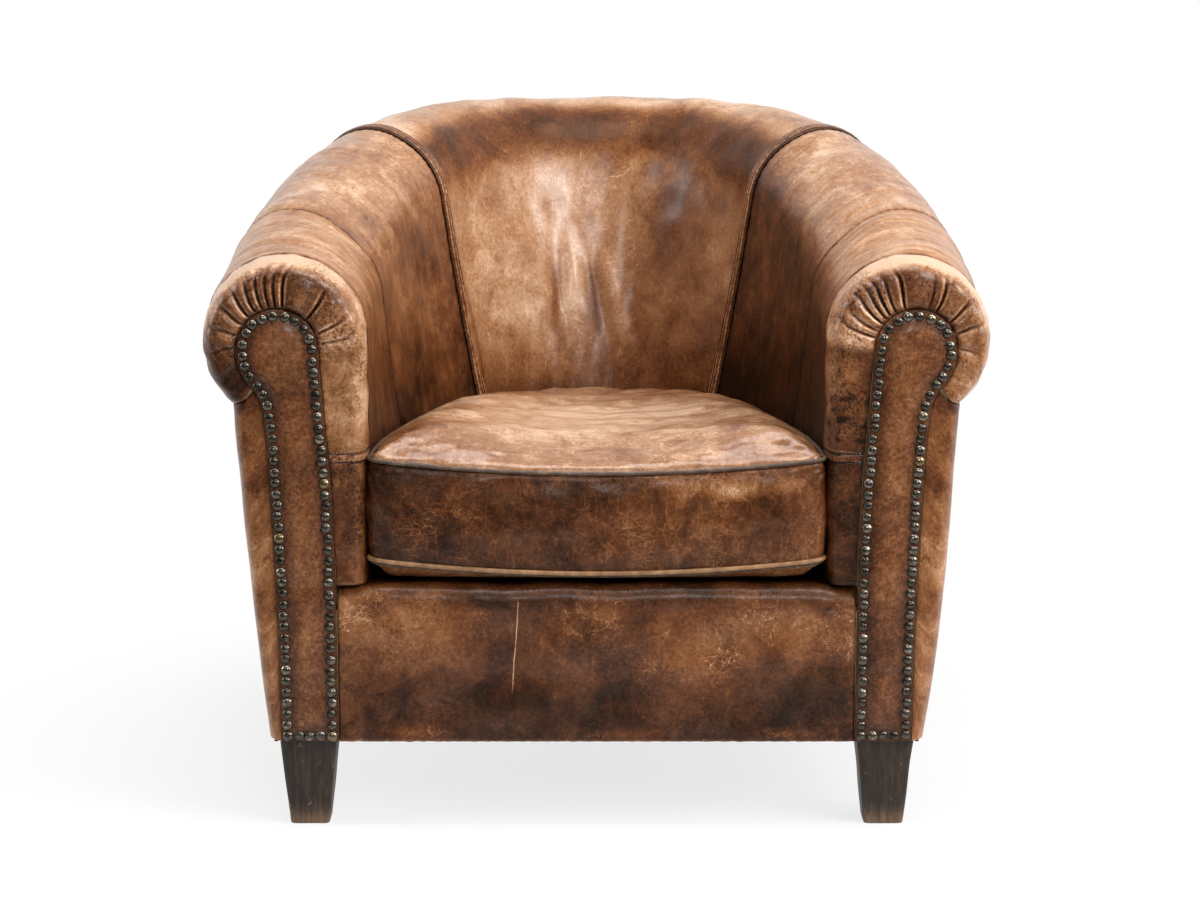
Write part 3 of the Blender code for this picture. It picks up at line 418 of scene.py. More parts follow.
class Finish(Nodes):
    """A material made of procedural nodes."""

    def __init__(self, name, **sockets):
        self.material = bpy.data.materials.new(name)
        self.material.use_nodes = True
        super().__init__(self.material.node_tree)
        self.shader = self.tree.nodes["Principled BSDF"]
        for key, value in sockets.items():
            self.shader.inputs[key.replace("_", " ")].default_value = value

    def place(self, kind="Object", scale=(1, 1, 1), shift=(0, 0, 0)):
        """Coordinates in metres: Object, or UV along and up the leather."""
        where = self.node("ShaderNodeTexCoord", output=kind)
        return self.node("ShaderNodeMapping", {"Vector": where, "Location": shift, "Scale": scale})

    def noise(self, where, scale, detail=4.0, roughness=0.6, distortion=0.0, output=0):
        values = {"Vector": where, "Scale": scale, "Detail": detail, "Roughness": roughness,
                  "Distortion": distortion}
        return self.node("ShaderNodeTexNoise", values, output)

    def streaks(self, scale, detail, roughness, distortion=0.0, kind="Object", shift=(0, 0, 0)):
        """A noise with a size of its own along each axis, so that it is drawn out."""
        return self.noise(self.place(kind, scale, shift), 1.0, detail, roughness, distortion)

    def cells(self, where, scale, feature="F1"):
        return self.node("ShaderNodeTexVoronoi", {"Vector": where, "Scale": scale}, feature=feature)

    def cracks(self, where, scale, width):
        """1 along the edges of cells, fading over the width."""
        return self.cells(where, scale, "DISTANCE_TO_EDGE").ramp(width, 0.0)

    def bent(self, where, scale, amount):
        """Coordinates pushed about by a noise, so that lines on them wander."""
        push = self.noise(where, scale, 3.0, 0.5, output=1)
        centred = self.node("ShaderNodeVectorMath", {0: push, 1: (0.5, 0.5, 0.5)}, operation="SUBTRACT")
        sized = self.node("ShaderNodeVectorMath", {0: centred, "Scale": amount}, operation="SCALE")
        return self.node("ShaderNodeVectorMath", {0: where, 1: sized}, operation="ADD")

    def mask(self, name):
        return self.node("ShaderNodeAttribute", output="Fac", attribute_name=name)

    def colours(self, value, stops):
        """A colour ramp with stops of (place, colour)."""
        colour = self.node("ShaderNodeValToRGB", {0: value})
        ramp = colour.socket.node.color_ramp
        while len(ramp.elements) < len(stops):
            ramp.elements.new(0.5)
        for element, (place, tint) in zip(ramp.elements, stops):
            element.position, element.color = place, (*tint, 1.0)
        return colour

    def mix(self, factor, a, b):
        return self.node("ShaderNodeMix", {0: factor, 6: a, 7: b}, 2, data_type="RGBA")

    def bump(self, height, distance, strength=1.0, under=None):
        values = {"Height": height, "Distance": distance, "Strength": strength}
        if under is not None:
            values["Normal"] = under
        return self.node("ShaderNodeBump", values)

    def done(self, colour, roughness, normal=None, metallic=None, coat=None):
        for key, value in (("Base Color", colour), ("Roughness", roughness), ("Normal", normal),
                           ("Metallic", metallic), ("Coat Weight", coat)):
            if value is not None:
                self.set(self.shader.inputs[key], value)
        return self.material


# %% [markdown]
# ## Worn, waxed leather
# Club leather is dyed dark and waxed. Where people touch it the wax and dye rub away, so that the
# crests turn tan and the hollows stay chocolate. One number, the level, carries this: it goes up
# with wear and with painted light, down with dirt and with painted shade, clouds and streaks move
# it, and a ramp turns it into a colour. Fine cracks follow a cell pattern whose edges open where
# the leather has dried, and the grain is a bump of small cells. The colours below run from the
# darkest wax to bare, rubbed hide. Wax is a coat over the hide, thinner on dirt, on painted shade
# and on scratches, and gone where the mask called dull is 1.

# %% The leather finish
HIDE = [(0.00, (0.0110, 0.0036, 0.0014)), (0.20, (0.040, 0.0118, 0.0036)), (0.40, (0.104, 0.0325, 0.0098)),
        (0.58, (0.205, 0.077, 0.0255)), (0.76, (0.340, 0.163, 0.073)), (1.00, (0.605, 0.385, 0.243))]
WARM = (1.0, 0.70, 0.50, 1.0)


def hide_finish(name, gloss=0.27):
    """The bare start of every leather: a warm, weak mirror under a coat of wax."""
    return Finish(name, Specular_IOR_Level=0.20, Coat_Roughness=gloss, Specular_Tint=WARM)


def scratch_line(f, top, bottom):
    """1 along a cut about a millimetre wide between two places on a front face, as (x, z)."""
    where = f.bent(f.place("Object"), 40, 0.0025)
    x, z = where.axis(0), where.axis(2)
    slope = (top[0] - bottom[0]) / (top[1] - bottom[1])
    off = x - (z - bottom[1]) * slope - bottom[0]
    ends = z.ramp(bottom[1], bottom[1] + 0.020) * z.ramp(top[1], top[1] - 0.004)
    in_front = f.node("ShaderNodeTexCoord", output="Object").axis(1).ramp(-0.33, -0.35)
    return (off * off).ramp(8e-7, 2e-7) * ends * in_front


def curled_lines(lazy, places, edges):
    """Thin lines where a lazy noise passes its middle, in some places only."""
    rise, full, fall, end = edges
    return lazy.ramp(rise, full) * lazy.ramp(end, fall) * places


def leather(name, tone=0.5, wear_and_light=0.30, dirt_and_shade=0.35, cloud=0.5, mottle=0.35, streak=0.0, speck=0.12, crack=0.0,
            crack_size=110, scuff=0.0, rough=0.42, shift=0.0, uv=True, stain=0.10, scratch=0.07, flake=0.0,
            wax=0.42, gloss=0.27, curl=0.0, cut=None, streak_scale=(120, 8, 20)):
    """A leather; most numbers say how far a kind of mark moves the level, and tone is the level itself."""
    f = hide_finish(name, gloss)
    kind, move = ("UV" if uv else "Object"), (shift, shift * 0.7, shift * 1.3)
    at = f.place(kind, shift=move)
    clouds, mottles = f.noise(at, 8, 3, 0.55), f.noise(at, 36, 8, 0.72, 0.5)
    specks = f.noise(at, 240, 4, 0.7)
    level = tone + (clouds - 0.5) * cloud + (mottles - 0.5) * mottle + (specks - 0.5) * speck
    # Wear and painted light raise the level; dirt and painted shade lower it.
    level = level + f.mask("wear_and_light") * wear_and_light - f.mask("dirt_and_shade") * dirt_and_shade
    stains = f.noise(at, 19, 7, 0.66, 0.5).ramp(0.50, 0.66)
    scratches = f.streaks((15, 210, 60), 4, 0.6, 1.5, kind, move).ramp(0.645, 0.69)
    hairs = f.streaks((300, 22, 22), 3, 0.6, 1.1, kind, move).ramp(0.66, 0.70)
    pores = f.noise(at, 900, 2, 0.5).ramp(0.30, 0.22)
    level = level - stains * stain + (scratches + hairs) * scratch - pores * 0.10
    if curl:
        rubbed = f.mask("wear_and_light").ramp(0.05, 0.35) * 0.85 + 0.15
        dry_places = f.noise(at, 13, 4, 0.6).ramp(0.43, 0.60) * rubbed
        thin = curled_lines(f.noise(at, 32, 4, 0.62, 1.7), dry_places, (0.480, 0.491, 0.492, 0.503))
        level = level + thin * curl
    if flake:
        patches = f.noise(at, 24, 5, 0.65, 0.4).ramp(0.42, 0.60)
        level = level - f.noise(at, 330, 4, 0.75, 0.3).ramp(0.50, 0.60) * patches * flake
    if streak:
        level = level + (f.streaks(streak_scale, 6, 0.62, 0.5, kind, move) - 0.5) * streak
    height = f.cells(at, 560) * 0.5 + specks * 0.6
    if cut:
        torn = scratch_line(f, *cut)
        level, height = level + torn * 0.55, height - torn * 1.5
    if crack:
        bent = f.bent(f.place(kind, (1, 1, 1), move), 60, 0.012)
        dry = f.noise(at, 17, 3, 0.6).ramp(0.42, 0.60)
        lines = f.cracks(bent, crack_size, 0.085) + f.cracks(bent, crack_size * 2.3, 0.12) * 0.55
        lines = lines * (dry * 0.8 + 0.2)
        level, height = level + lines * crack, height - lines * 0.5
    if scuff:
        rubbed = f.streaks((26, 26, 26) if uv else (26, 40, 26), 9, 0.78, 1.2, kind, move)
        level = level + rubbed.ramp(0.56, 0.74) * scuff
    roughness = rough + (mottles - 0.5) * 0.25 + (specks - 0.5) * 0.15
    waxed = (mottles - 0.5) * 0.9 + (specks - 0.5) * 0.6 - scratches * 0.2 - f.mask("dirt_and_shade") * 0.4 + wax
    normal = f.bump(mottles, 0.0012, 0.5, f.bump(height, 0.0007, 0.8))
    return f.done(f.colours(level, HIDE), roughness, normal, coat=waxed * (1 - f.mask("dull")))


arm_leather = leather("arm leather", tone=0.57, wear_and_light=0.20, dirt_and_shade=0.30, cloud=0.40, mottle=0.60, streak=0.50,
                      speck=0.48, rough=0.37, scuff=0.07, wax=0.55)
wing_leather = leather("wing leather", tone=0.525, wear_and_light=0.18, dirt_and_shade=0.28, cloud=0.85, mottle=0.80, streak=0.34,
                       speck=0.48, rough=0.34, scuff=0.09, shift=3.1, wax=0.60, curl=0.06)
back_leather = leather("back leather", tone=0.54, wear_and_light=0.20, dirt_and_shade=0.30, cloud=0.85, mottle=0.48, uv=False,
                       speck=0.44, scuff=0.12, rough=0.31, shift=5.3, stain=0.13, wax=1.15, curl=0.10,
                       scratch=0.14, gloss=0.32)
band_leather = leather("scroll leather", tone=0.52, wear_and_light=0.34, dirt_and_shade=0.36, cloud=0.55, mottle=1.1, crack=0.10,
                       speck=0.50, scuff=0.16, crack_size=150, rough=0.38, shift=7.7, flake=0.42, uv=False,
                       wax=0.70)
side_leather = leather("side leather", tone=0.52, wear_and_light=0.30, dirt_and_shade=0.30, cloud=0.80, mottle=0.95, streak=0.24,
                       speck=0.42, rough=0.40, scuff=0.16, shift=9.1, streak_scale=(60, 9, 20), flake=0.24,
                       curl=0.14)
strip_leather = leather("seam strip leather", tone=0.40, wear_and_light=0.34, dirt_and_shade=0.36, cloud=0.3, mottle=0.8, speck=0.9,
                        shift=2.2, streak=1.0, streak_scale=(170, 330, 20))
rail_leather = leather("rail leather", tone=0.350, wear_and_light=0.34, dirt_and_shade=0.30, cloud=0.70, mottle=0.55, crack=0.05,
                       speck=0.46, crack_size=140, scuff=0.30, rough=0.36, uv=False, shift=1.7, flake=0.12,
                       stain=0.18, wax=0.44, curl=0.46, cut=((-0.0845, 0.257), (-0.0925, 0.146)))
facing_leather = leather("facing leather", tone=0.365, wear_and_light=0.20, dirt_and_shade=0.30, cloud=0.65, mottle=0.60,
                         rough=0.36, speck=0.80, uv=False, shift=4.4, crack=0.10, crack_size=260, wax=0.5,
                         scuff=0.12)
print("leathers made:", sum("leather" in m.name for m in bpy.data.materials))

# %% [markdown]
# ## Inside panels
# The upholsterer cuts the inside of the tub in five panels and sews them edge to edge, so every
# seam is a fine groove where two edges turn under. Pulled over the padding, the hide shows drag
# lines that run with the seams, puckers beside the stitching, and on the back a few soft folds
# where sitters have pressed it down. A grid with extra lines beside its seams holds all of that.
# Leather and padding are one soft form here, so each panel stands for its pads as well.

# %% The lines of a panel
EDGE_STEPS = np.array([0.0, 0.0003, 0.0007, 0.0012, 0.0019])
STRIP_HALF, STRIP_LAP, PAD_DEPTH, ROLL_LENGTH = SEAM_STRIP / 2 + GAP, 0.0092, 0.034, 0.31
DECK_V, CREASE_V, CALM_EDGE = 0.002, 1.998, 0.012
INNER_ROWS = np.concatenate([np.linspace(DECK_V, 1, 58)[:-1], np.linspace(1, 1.990, 76),
                             CREASE_V - EDGE_STEPS[::-1] / ROLL_LENGTH])


def panel_lines(first, last, rows, steps, clear=(GAP, GAP)):
    """A panel's t, its distance from a seam, and its place along the leather."""
    left, right = seam(first, rows)[:, None], seam(last, rows)[:, None]
    start, end = left + clear[0] / HALF_LENGTH, right - clear[1] / HALF_LENGTH
    near, inner = EDGE_STEPS / HALF_LENGTH, 0.0035 / HALF_LENGTH
    middle = start + inner + (end - start - 2 * inner) * np.linspace(0, 1, steps)
    t = np.concatenate([start + near, middle, end - near[::-1]], 1)
    width = float(np.mean(right - left)) * HALF_LENGTH
    return t, np.minimum(t - start, end - t) * HALF_LENGTH, (t - left) / (right - left) * width


def puckers(beside, up, seed, height=0.00045, pitch=0.0105):
    """Small ripples that the stitching pulls into the leather beside a seam."""
    wander = waves(up, up * 0, 0.05, seed)
    return height * np.sin(2 * math.pi * up / pitch + 2.2 * wander) * fading(beside, 0.0065)


# %% [markdown]
# The back is worn in its own way: a broad rubbed field where shoulders lean, with a painted sheen
# on it, folds that rise from the cushion with painted highlights on their crests and painted shade
# in the valleys between them, a dark band where the wall turns into the roll, and a pale crest that
# is worn and carries a painted rim highlight. The panels of the arms are rubbed wherever they face
# up and carry painted shade where they face down, and the right arm carries painted shade on all
# but its upward faces.

# %% Wear, dirt, painted light and painted shade of the inside panels
# Folds and shaded valleys are (x, up, length, width, lean, height), counted along the back from the
# deck; a valley's height says how dark its painted shade is.
BACK_FOLDS = [(-0.028, 0.272, 0.060, 0.0140, 3, 0.0052), (0.0225, 0.264, 0.054, 0.0115, -6, 0.0048),
              (-0.105, 0.270, 0.110, 0.0550, 8, 0.0080), (0.060, 0.262, 0.050, 0.0170, -10, 0.0018)]
SHADED_VALLEYS = [(-0.0035, 0.262, 0.046, 0.0060, -2, 1.0), (-0.053, 0.258, 0.048, 0.0065, 4, 1.0),
           (0.043, 0.250, 0.036, 0.0055, -9, 0.6)]
# How much painted shade lies on each side's arm; the right arm is the darker one.
PAINTED_SHADE = {"left": 0.0, "right": 0.8}


def back_wear(x, up, v, beside, crease, low):
    """Masks of the inside back."""
    # A field rubbed where shoulders lean, with a painted sheen on it.
    middle = np.exp(-np.abs((x + 0.100) / 0.115) ** 3 - np.abs((up - 0.305) / 0.130) ** 3)
    # The crests of the first two folds, rubbed and with painted highlights.
    crest_wear_and_highlight = ridges(x, up, [fold[:5] + (1.0,) for fold in BACK_FOLDS[:2]])
    # Painted shade in the valleys between the folds.
    valley_shade = ridges(x, up, SHADED_VALLEYS) * 0.8
    dark_band = smooth(v, 0.97, 1.08) * (1 - smooth(v, 1.15, 1.26))
    # The crest of the roll is worn and carries a painted rim highlight.
    wear_and_light = middle * 1.40 + smooth(v, 1.15, 1.28) * 1.5 + crest_wear_and_highlight * 1.1
    dirt_and_shade = fading(np.abs(beside - STRIP_LAP), 0.0016) * 1.1 + fading(crease, 0.004) + low * 0.55 + valley_shade
    dull = valley_shade + smooth(v, 0.92, 1.02) * 0.95 - smooth(v, 1.15, 1.30) * 0.35 + smooth(up, 0.23, 0.16) * 0.7
    return {"wear_and_light": wear_and_light, "dirt_and_shade": dirt_and_shade + dark_band * 0.75, "dull": np.minimum(1, dull)}


def arm_wear(facing_up, v, beside, crease, low, painted_shade):
    """Masks of the other inside panels."""
    high = smooth(v, 0.75, 1.35)
    dirt_and_shade = fading(beside, 0.0016) * 0.65 + fading(beside, 0.016) * 0.22 + fading(crease, 0.004) + low * 0.85
    # Painted shade on the faces of the roll that turn down; the lower wall is darker too.
    dirt_and_shade = dirt_and_shade + smooth(facing_up, 0.10, -0.05) * high * 0.3 + (1 - high) * 0.20
    # The right arm's painted shade falls on all but its upward faces.
    return {"wear_and_light": smooth(facing_up, 0.05, 0.95) + high * 0.15,
            "dirt_and_shade": dirt_and_shade + painted_shade * smooth(facing_up, 0.7, 0.2), "dull": 0 * beside}


# %% The five inside panels


def inside_panel(name, first, last, steps, clear, finish, seed, pads, folds=()):
    v = INNER_ROWS[:, None]
    t, beside, u = panel_lines(first, last, INNER_ROWS, steps, clear)
    crease = (CREASE_V - v) * ROLL_LENGTH
    edge = np.minimum(beside, crease)
    base = tub(t, v, edge_turn(edge))
    uv = surface_uv(base, u)
    x, up = base[..., 0], uv[..., 1]
    drag = waves(u, up, 0.045, seed + 1) * 0.0004 if folds else waves(u, up, 0.021, seed + 1, 7.0) * 0.00042
    height = (waves(u, up, 0.075, seed, 1.6) * 0.0010 + drag) * smooth(edge, 0.0, CALM_EDGE)
    height = height + puckers(beside, up, seed + 2) + ridges(x, up, folds)
    low = smooth(base[..., 2], 0.56, 0.40)
    if folds:
        masks = back_wear(x, up, v, beside, crease, low)
    else:
        masks = arm_wear(normals(base)[..., 2], v, beside, crease, low, PAINTED_SHADE[name.split("_")[-1]])
    panel(name, relief(base, height), tub(t, v, PAD_DEPTH), uv, masks, finish, pads)


inside_panel("inside_back", 3, 4, 200, (STRIP_HALF, STRIP_HALF), back_leather, 11,
             ["back_pad", "back_roll_pad"], BACK_FOLDS)
for word, seams, seed in (("left", (1, 2, 3), 21), ("right", (6, 5, 4), 31)):
    pads = ["side_pad_" + word, "arm_roll_pad_" + word]
    front, middle, back = seams
    clear = (GAP, STRIP_HALF) if word == "left" else (STRIP_HALF, GAP)
    inside_panel("inside_wing_" + word, *sorted((middle, back)), 66, clear, wing_leather, seed, pads)
    inside_panel("inside_arm_" + word, *sorted((front, middle)), 54, (GAP, GAP), arm_leather, seed + 5, pads)

# %% [markdown]
# ## The sewn strips of the back
# The two seams of the back carry the most pull, so they are felled: one edge folds over the other
# and two rows of stitches hold it down. That leaves a raised band as wide as a thumb nail, which
# is a narrow skin of its own here, with a hollow under each row of stitches. It is sewn over the
# edge of the back's leather, and its free edge there has rubbed pale.

# %% Felled seams
STITCH_ROWS, PALE_LINES, STRIP_RISE, STRIP_DOME = (-0.0028, 0.0102), (0.0004, 0.0070), 0.0021, 0.0010
STRIP_LINES = np.array([-4.5, -4.35, -4.0, -3.4, -2.8, -2.2, -1.0, 0.1, 1.0, 1.9, 3.2, 4.2, 5.0, 5.8, 7.0, 7.8,
                        8.6, 9.4, 10.2, 10.8, 11.4, 12.2, 13.0, 13.4, 13.7]) / 1000
for number, word in ((3, "left"), (4, "right")):
    v = INNER_ROWS[:, None]
    way, turn = (STRIP_LINES, 1) if number == 3 else (STRIP_LINES[::-1], -1)
    t = seam(number, v) + turn * way[None] / HALF_LENGTH
    ends = np.minimum(way + SEAM_STRIP / 2, STRIP_HALF + STRIP_LAP - way)
    dome = STRIP_RISE + STRIP_DOME * np.sin(ends / 0.0180 * math.pi) - edge_turn(ends, 0.0014)
    dome = dome - 0.0009 * sum(bell(way, row, 0.0008) for row in STITCH_ROWS)
    base = tub(t, v, -dome[None])
    uv = surface_uv(base, way[None] + 0.4)
    beads = waves(uv[..., 1], way[None] * 0, 0.010, 60 + number) * 0.00015
    dirt_and_shade = 0.4 * fading(way + SEAM_STRIP / 2, 0.0008) + smooth(v, 1.02, 1.3) * 0.12
    dirt_and_shade = dirt_and_shade + 1.2 * sum(bell(way, row, 0.0010) for row in STITCH_ROWS)
    wear_and_light = 0.05 + 1.1 * sum(bell(way, line, 0.0010) for line in PALE_LINES) + 1.6 * smooth(way, 0.0114, 0.0124)
    under = np.where(np.abs(way) < 0.0043, 0.0016, -0.0004)[None]
    panel("back_seam_strip_" + word, relief(base, beads), tub(t, v, under), uv, {"wear_and_light": wear_and_light, "dirt_and_shade": dirt_and_shade},
          strip_leather)

# %% [markdown]
# ## Where the facing ends and the scroll begins
# The facing is a leather-covered board shaped like a tall keyhole, and the arm's own leather runs
# up to it and is nailed under its rim. Its outline is a few points joined by a Catmull-Rom curve,
# plus an arch; the arm's leather starts a hair outside that line.

# %% The facing's outline
FACING_FOOT_Z, EDGE_CLEAR, NECK_DROP, CREASE_EDGE_Z = 0.0985, 0.0009, 0.0015, 0.4875
INNER_EDGE = [(0.2820, FACING_FOOT_Z), (0.2826, 0.210), (0.2832, 0.290), (0.2850, 0.345), (0.2880, 0.400),
              (0.2915, 0.440), (0.2945, 0.480), (0.2980, ARCH_Z)]
OUTER_EDGE = [(0.3860, ARCH_Z), (0.3835, 0.5115), (0.3760, 0.4950), (0.3665, 0.4840), (0.3600, 0.4700),
              (0.3560, 0.4450), (0.3530, 0.400), (0.3500, 0.340), (0.3475, 0.280), (0.3455, 0.212),
              (0.3435, FACING_FOOT_Z)]


def catmull(points, steps):
    """Points along a smooth curve through the given ones."""
    p = np.array([points[0]] + list(points) + [points[-1]])
    w = np.linspace(0, 1, steps, endpoint=False)[:, None]
    spans = [0.5 * (2 * b + (c - a) * w + (2 * a - 5 * b + 4 * c - e) * w ** 2
                    + (3 * b - a - 3 * c + e) * w ** 3) for a, b, c, e in zip(p, p[1:], p[2:], p[3:])]
    return np.concatenate(spans + [p[-1:]])


def edge_x(edge, z):
    """The x of one of the facing's edges at each height."""
    line = catmull(edge, 8)
    line = line[np.argsort(line[:, 1])]
    return np.interp(z, line[:, 1], line[:, 0])


def nail_line(v):
    """Where the arm's leather meets the facing, as x and z, for each v."""
    angle = SCROLL_TURN * (v - 1)
    arch = np.clip(angle, 0, math.pi)
    radius = ARCH_RADIUS + GAP
    low_z = DECK_Z + (ARCH_Z - DECK_Z) * v
    neck_z = ARCH_Z + (CREASE_EDGE_Z - ARCH_Z) * (angle - math.pi) / (SCROLL_TURN - math.pi)
    out_z = CREASE_EDGE_Z - NECK_DROP + (FACING_FOOT_Z - CREASE_EDGE_Z) * (v - 2)
    parts = [v <= 1, v <= 1 + math.pi / SCROLL_TURN, v <= 2]
    x = np.select(parts, [edge_x(INNER_EDGE, low_z) - EDGE_CLEAR, ARCH_X - radius * np.cos(arch),
                          edge_x(OUTER_EDGE, neck_z) + EDGE_CLEAR], edge_x(OUTER_EDGE, out_z) + EDGE_CLEAR)
    return x, np.select(parts, [low_z, ARCH_Z + radius * np.sin(arch), neck_z], out_z)


# %% [markdown]
# ## Leather round the front of an arm
# From the nails the leather crosses the face, turns over the front edge and runs back along the
# arm. Along the straight parts that is easy, but round the scroll the outer edge is twice as long
# as the nail line, so the spare leather is pushed into gathers of uneven width and pinned there.
# Each gather is a soft crest between two sharp cuts, and it fades as it climbs over the edge.

# %% The wrap's grid
FACE_LINES, PLEAT_RADIUS = np.array([0.0, 0.03, 0.09, 0.20, 0.34, 0.50, 0.67, 0.84]), 0.062
TURN_LINES = np.radians(np.linspace(0, 90, 11))
ARM_START = float(way_at_depth(FACE_D + EDGE_ROUND_DEPTH))


def wrap_grid(rows, t, layer):
    """The left arm's front from the nail line, over the edge and back to each t."""
    v = rows[:, None]
    x, z = nail_line(rows)
    start = np.stack([-x, np.full_like(x, FACE_D + layer), z], -1)[:, None]
    d = FACE_D + EDGE_ROUND_DEPTH * (1 - np.cos(TURN_LINES))
    inset = EDGE_ROUND_SIDE * (1 - np.sin(TURN_LINES)) + layer * np.sin(TURN_LINES)
    cx, _, cz, _, _, out, up = section(way_at_depth(d)[None] + 0 * v, v + 0 * d, inset[None] + 0 * v)
    depth = np.broadcast_to(d + layer * np.cos(TURN_LINES), out.shape)
    edge = np.stack([-(cx + out), depth, cz + up], -1)
    face = start + (edge[:, :1] - start) * FACE_LINES[None, :, None]
    front = np.concatenate([face, edge], 1) - (0, CENTRE_D, 0)
    return np.concatenate([front, tub(t, v, layer)], 1)


def wrap_way(count):
    """0 to 1 over the face, 1 to 2 round the edge and 2 to 3 along the arm, for each line."""
    return np.concatenate([FACE_LINES, np.linspace(1, 2, len(TURN_LINES)), np.linspace(2, 3, count + 1)[1:]])


# Each cut is its angle up from the inner side in degrees, its depth, and how far it climbs.
CUTS = {"left": [(-6, 0.0, 1.2), (8, 0.3, 1.2), (22, 0.5, 1.3), (46, 0.8, 1.45), (82, 1.0, 1.75),
                 (91, 0.6, 1.6), (99, 0.5, 1.45), (108, 0.7, 1.6), (118, 0.6, 1.5), (129, 0.8, 1.7),
                 (143, 0.6, 1.5), (159, 0.35, 1.2), (176, 0.25, 1.1), (196, 0.0, 1.1)],
        "right": [(-4, 0.0, 1.2), (17, 0.6, 1.5), (26, 0.4, 1.3), (38, 0.9, 1.6), (46, 0.7, 1.45),
                  (53, 0.9, 1.55), (61, 0.6, 1.4), (74, 1.0, 1.8), (105, 0.3, 1.2), (116, 0.9, 1.7),
                  (139, 0.8, 1.5), (157, 0.5, 1.3), (178, 0.2, 1.1), (198, 0.0, 1.1)]}


def gathers(phase, way, table):
    """Heights, depths of cuts and worn lips beside them, at a share of the scroll's turn."""
    turns, depths, ends = np.array(table).T
    cuts = np.radians(turns) / SCROLL_TURN
    bent = phase + 0.012 * np.sin(2.6 * way + 9 * phase) * np.minimum(way, 1)
    which = np.clip(np.searchsorted(cuts, bent) - 1, 0, len(cuts) - 2)
    width = cuts[which + 1] - cuts[which]
    local = np.clip((bent - cuts[which]) / width, 0, 1)
    nearest = which + (local > 0.5)
    away = np.minimum(local, 1 - local) * width * SCROLL_TURN * PLEAT_RADIUS
    begun = smooth(way, 0.0, 0.16)
    fade = begun * (1 - smooth(way, 0.1, ends[which] + 0.45)) ** 0.8
    live = np.minimum(1, 0.25 + depths[which] + depths[which + 1])
    crest = np.sin(math.pi * local) ** 0.85 * (width * 15) ** 0.6 * live * fade
    fade = begun * (1 - smooth(way, 0.5, ends[nearest]))
    cut, lip = bell(away, 0, 0.0012), bell(away, 0.0029, 0.0013)
    return crest, cut * depths[nearest] * fade, lip * depths[nearest] * fade


# %% [markdown]
# A band is one skin, but its two parts wear apart. The scroll is dark between its gathers, pale on
# the rim that hands hold, which also carries a painted sheen, and on every worn lip; its outer side
# carries painted shade on the left arm and painted light on the right one. The strip below it
# carries a flap with two rows of stitches; it has a painted glow of light on the left arm, and
# painted shade and burnt spots on the right one.

# %% Gathered bands of the scrolls
STRIP_SEAM_Z = (0.4075, 0.4165)
seam_rows = [(z + k * 0.0008 - DECK_Z) / (ARCH_Z - DECK_Z) for z in STRIP_SEAM_Z for k in range(-4, 5)]
BAND_ROWS = np.unique(np.concatenate([np.linspace(DECK_V, 1, 90), seam_rows, np.linspace(1, CREASE_V, 290)]))
BAND_WIDTH, PLEAT_HEIGHT, CUT_DEPTH = 0.020, 0.0044, 0.0022
CREASES = [(0, 0.02, 0.02, 0.0025, 6, 0.0011), (-0.016, 0.022, 0.02, 0.003, -8, 0.0009),
           (-0.036, 0.02, 0.02, 0.003, 5, 0.0007)]


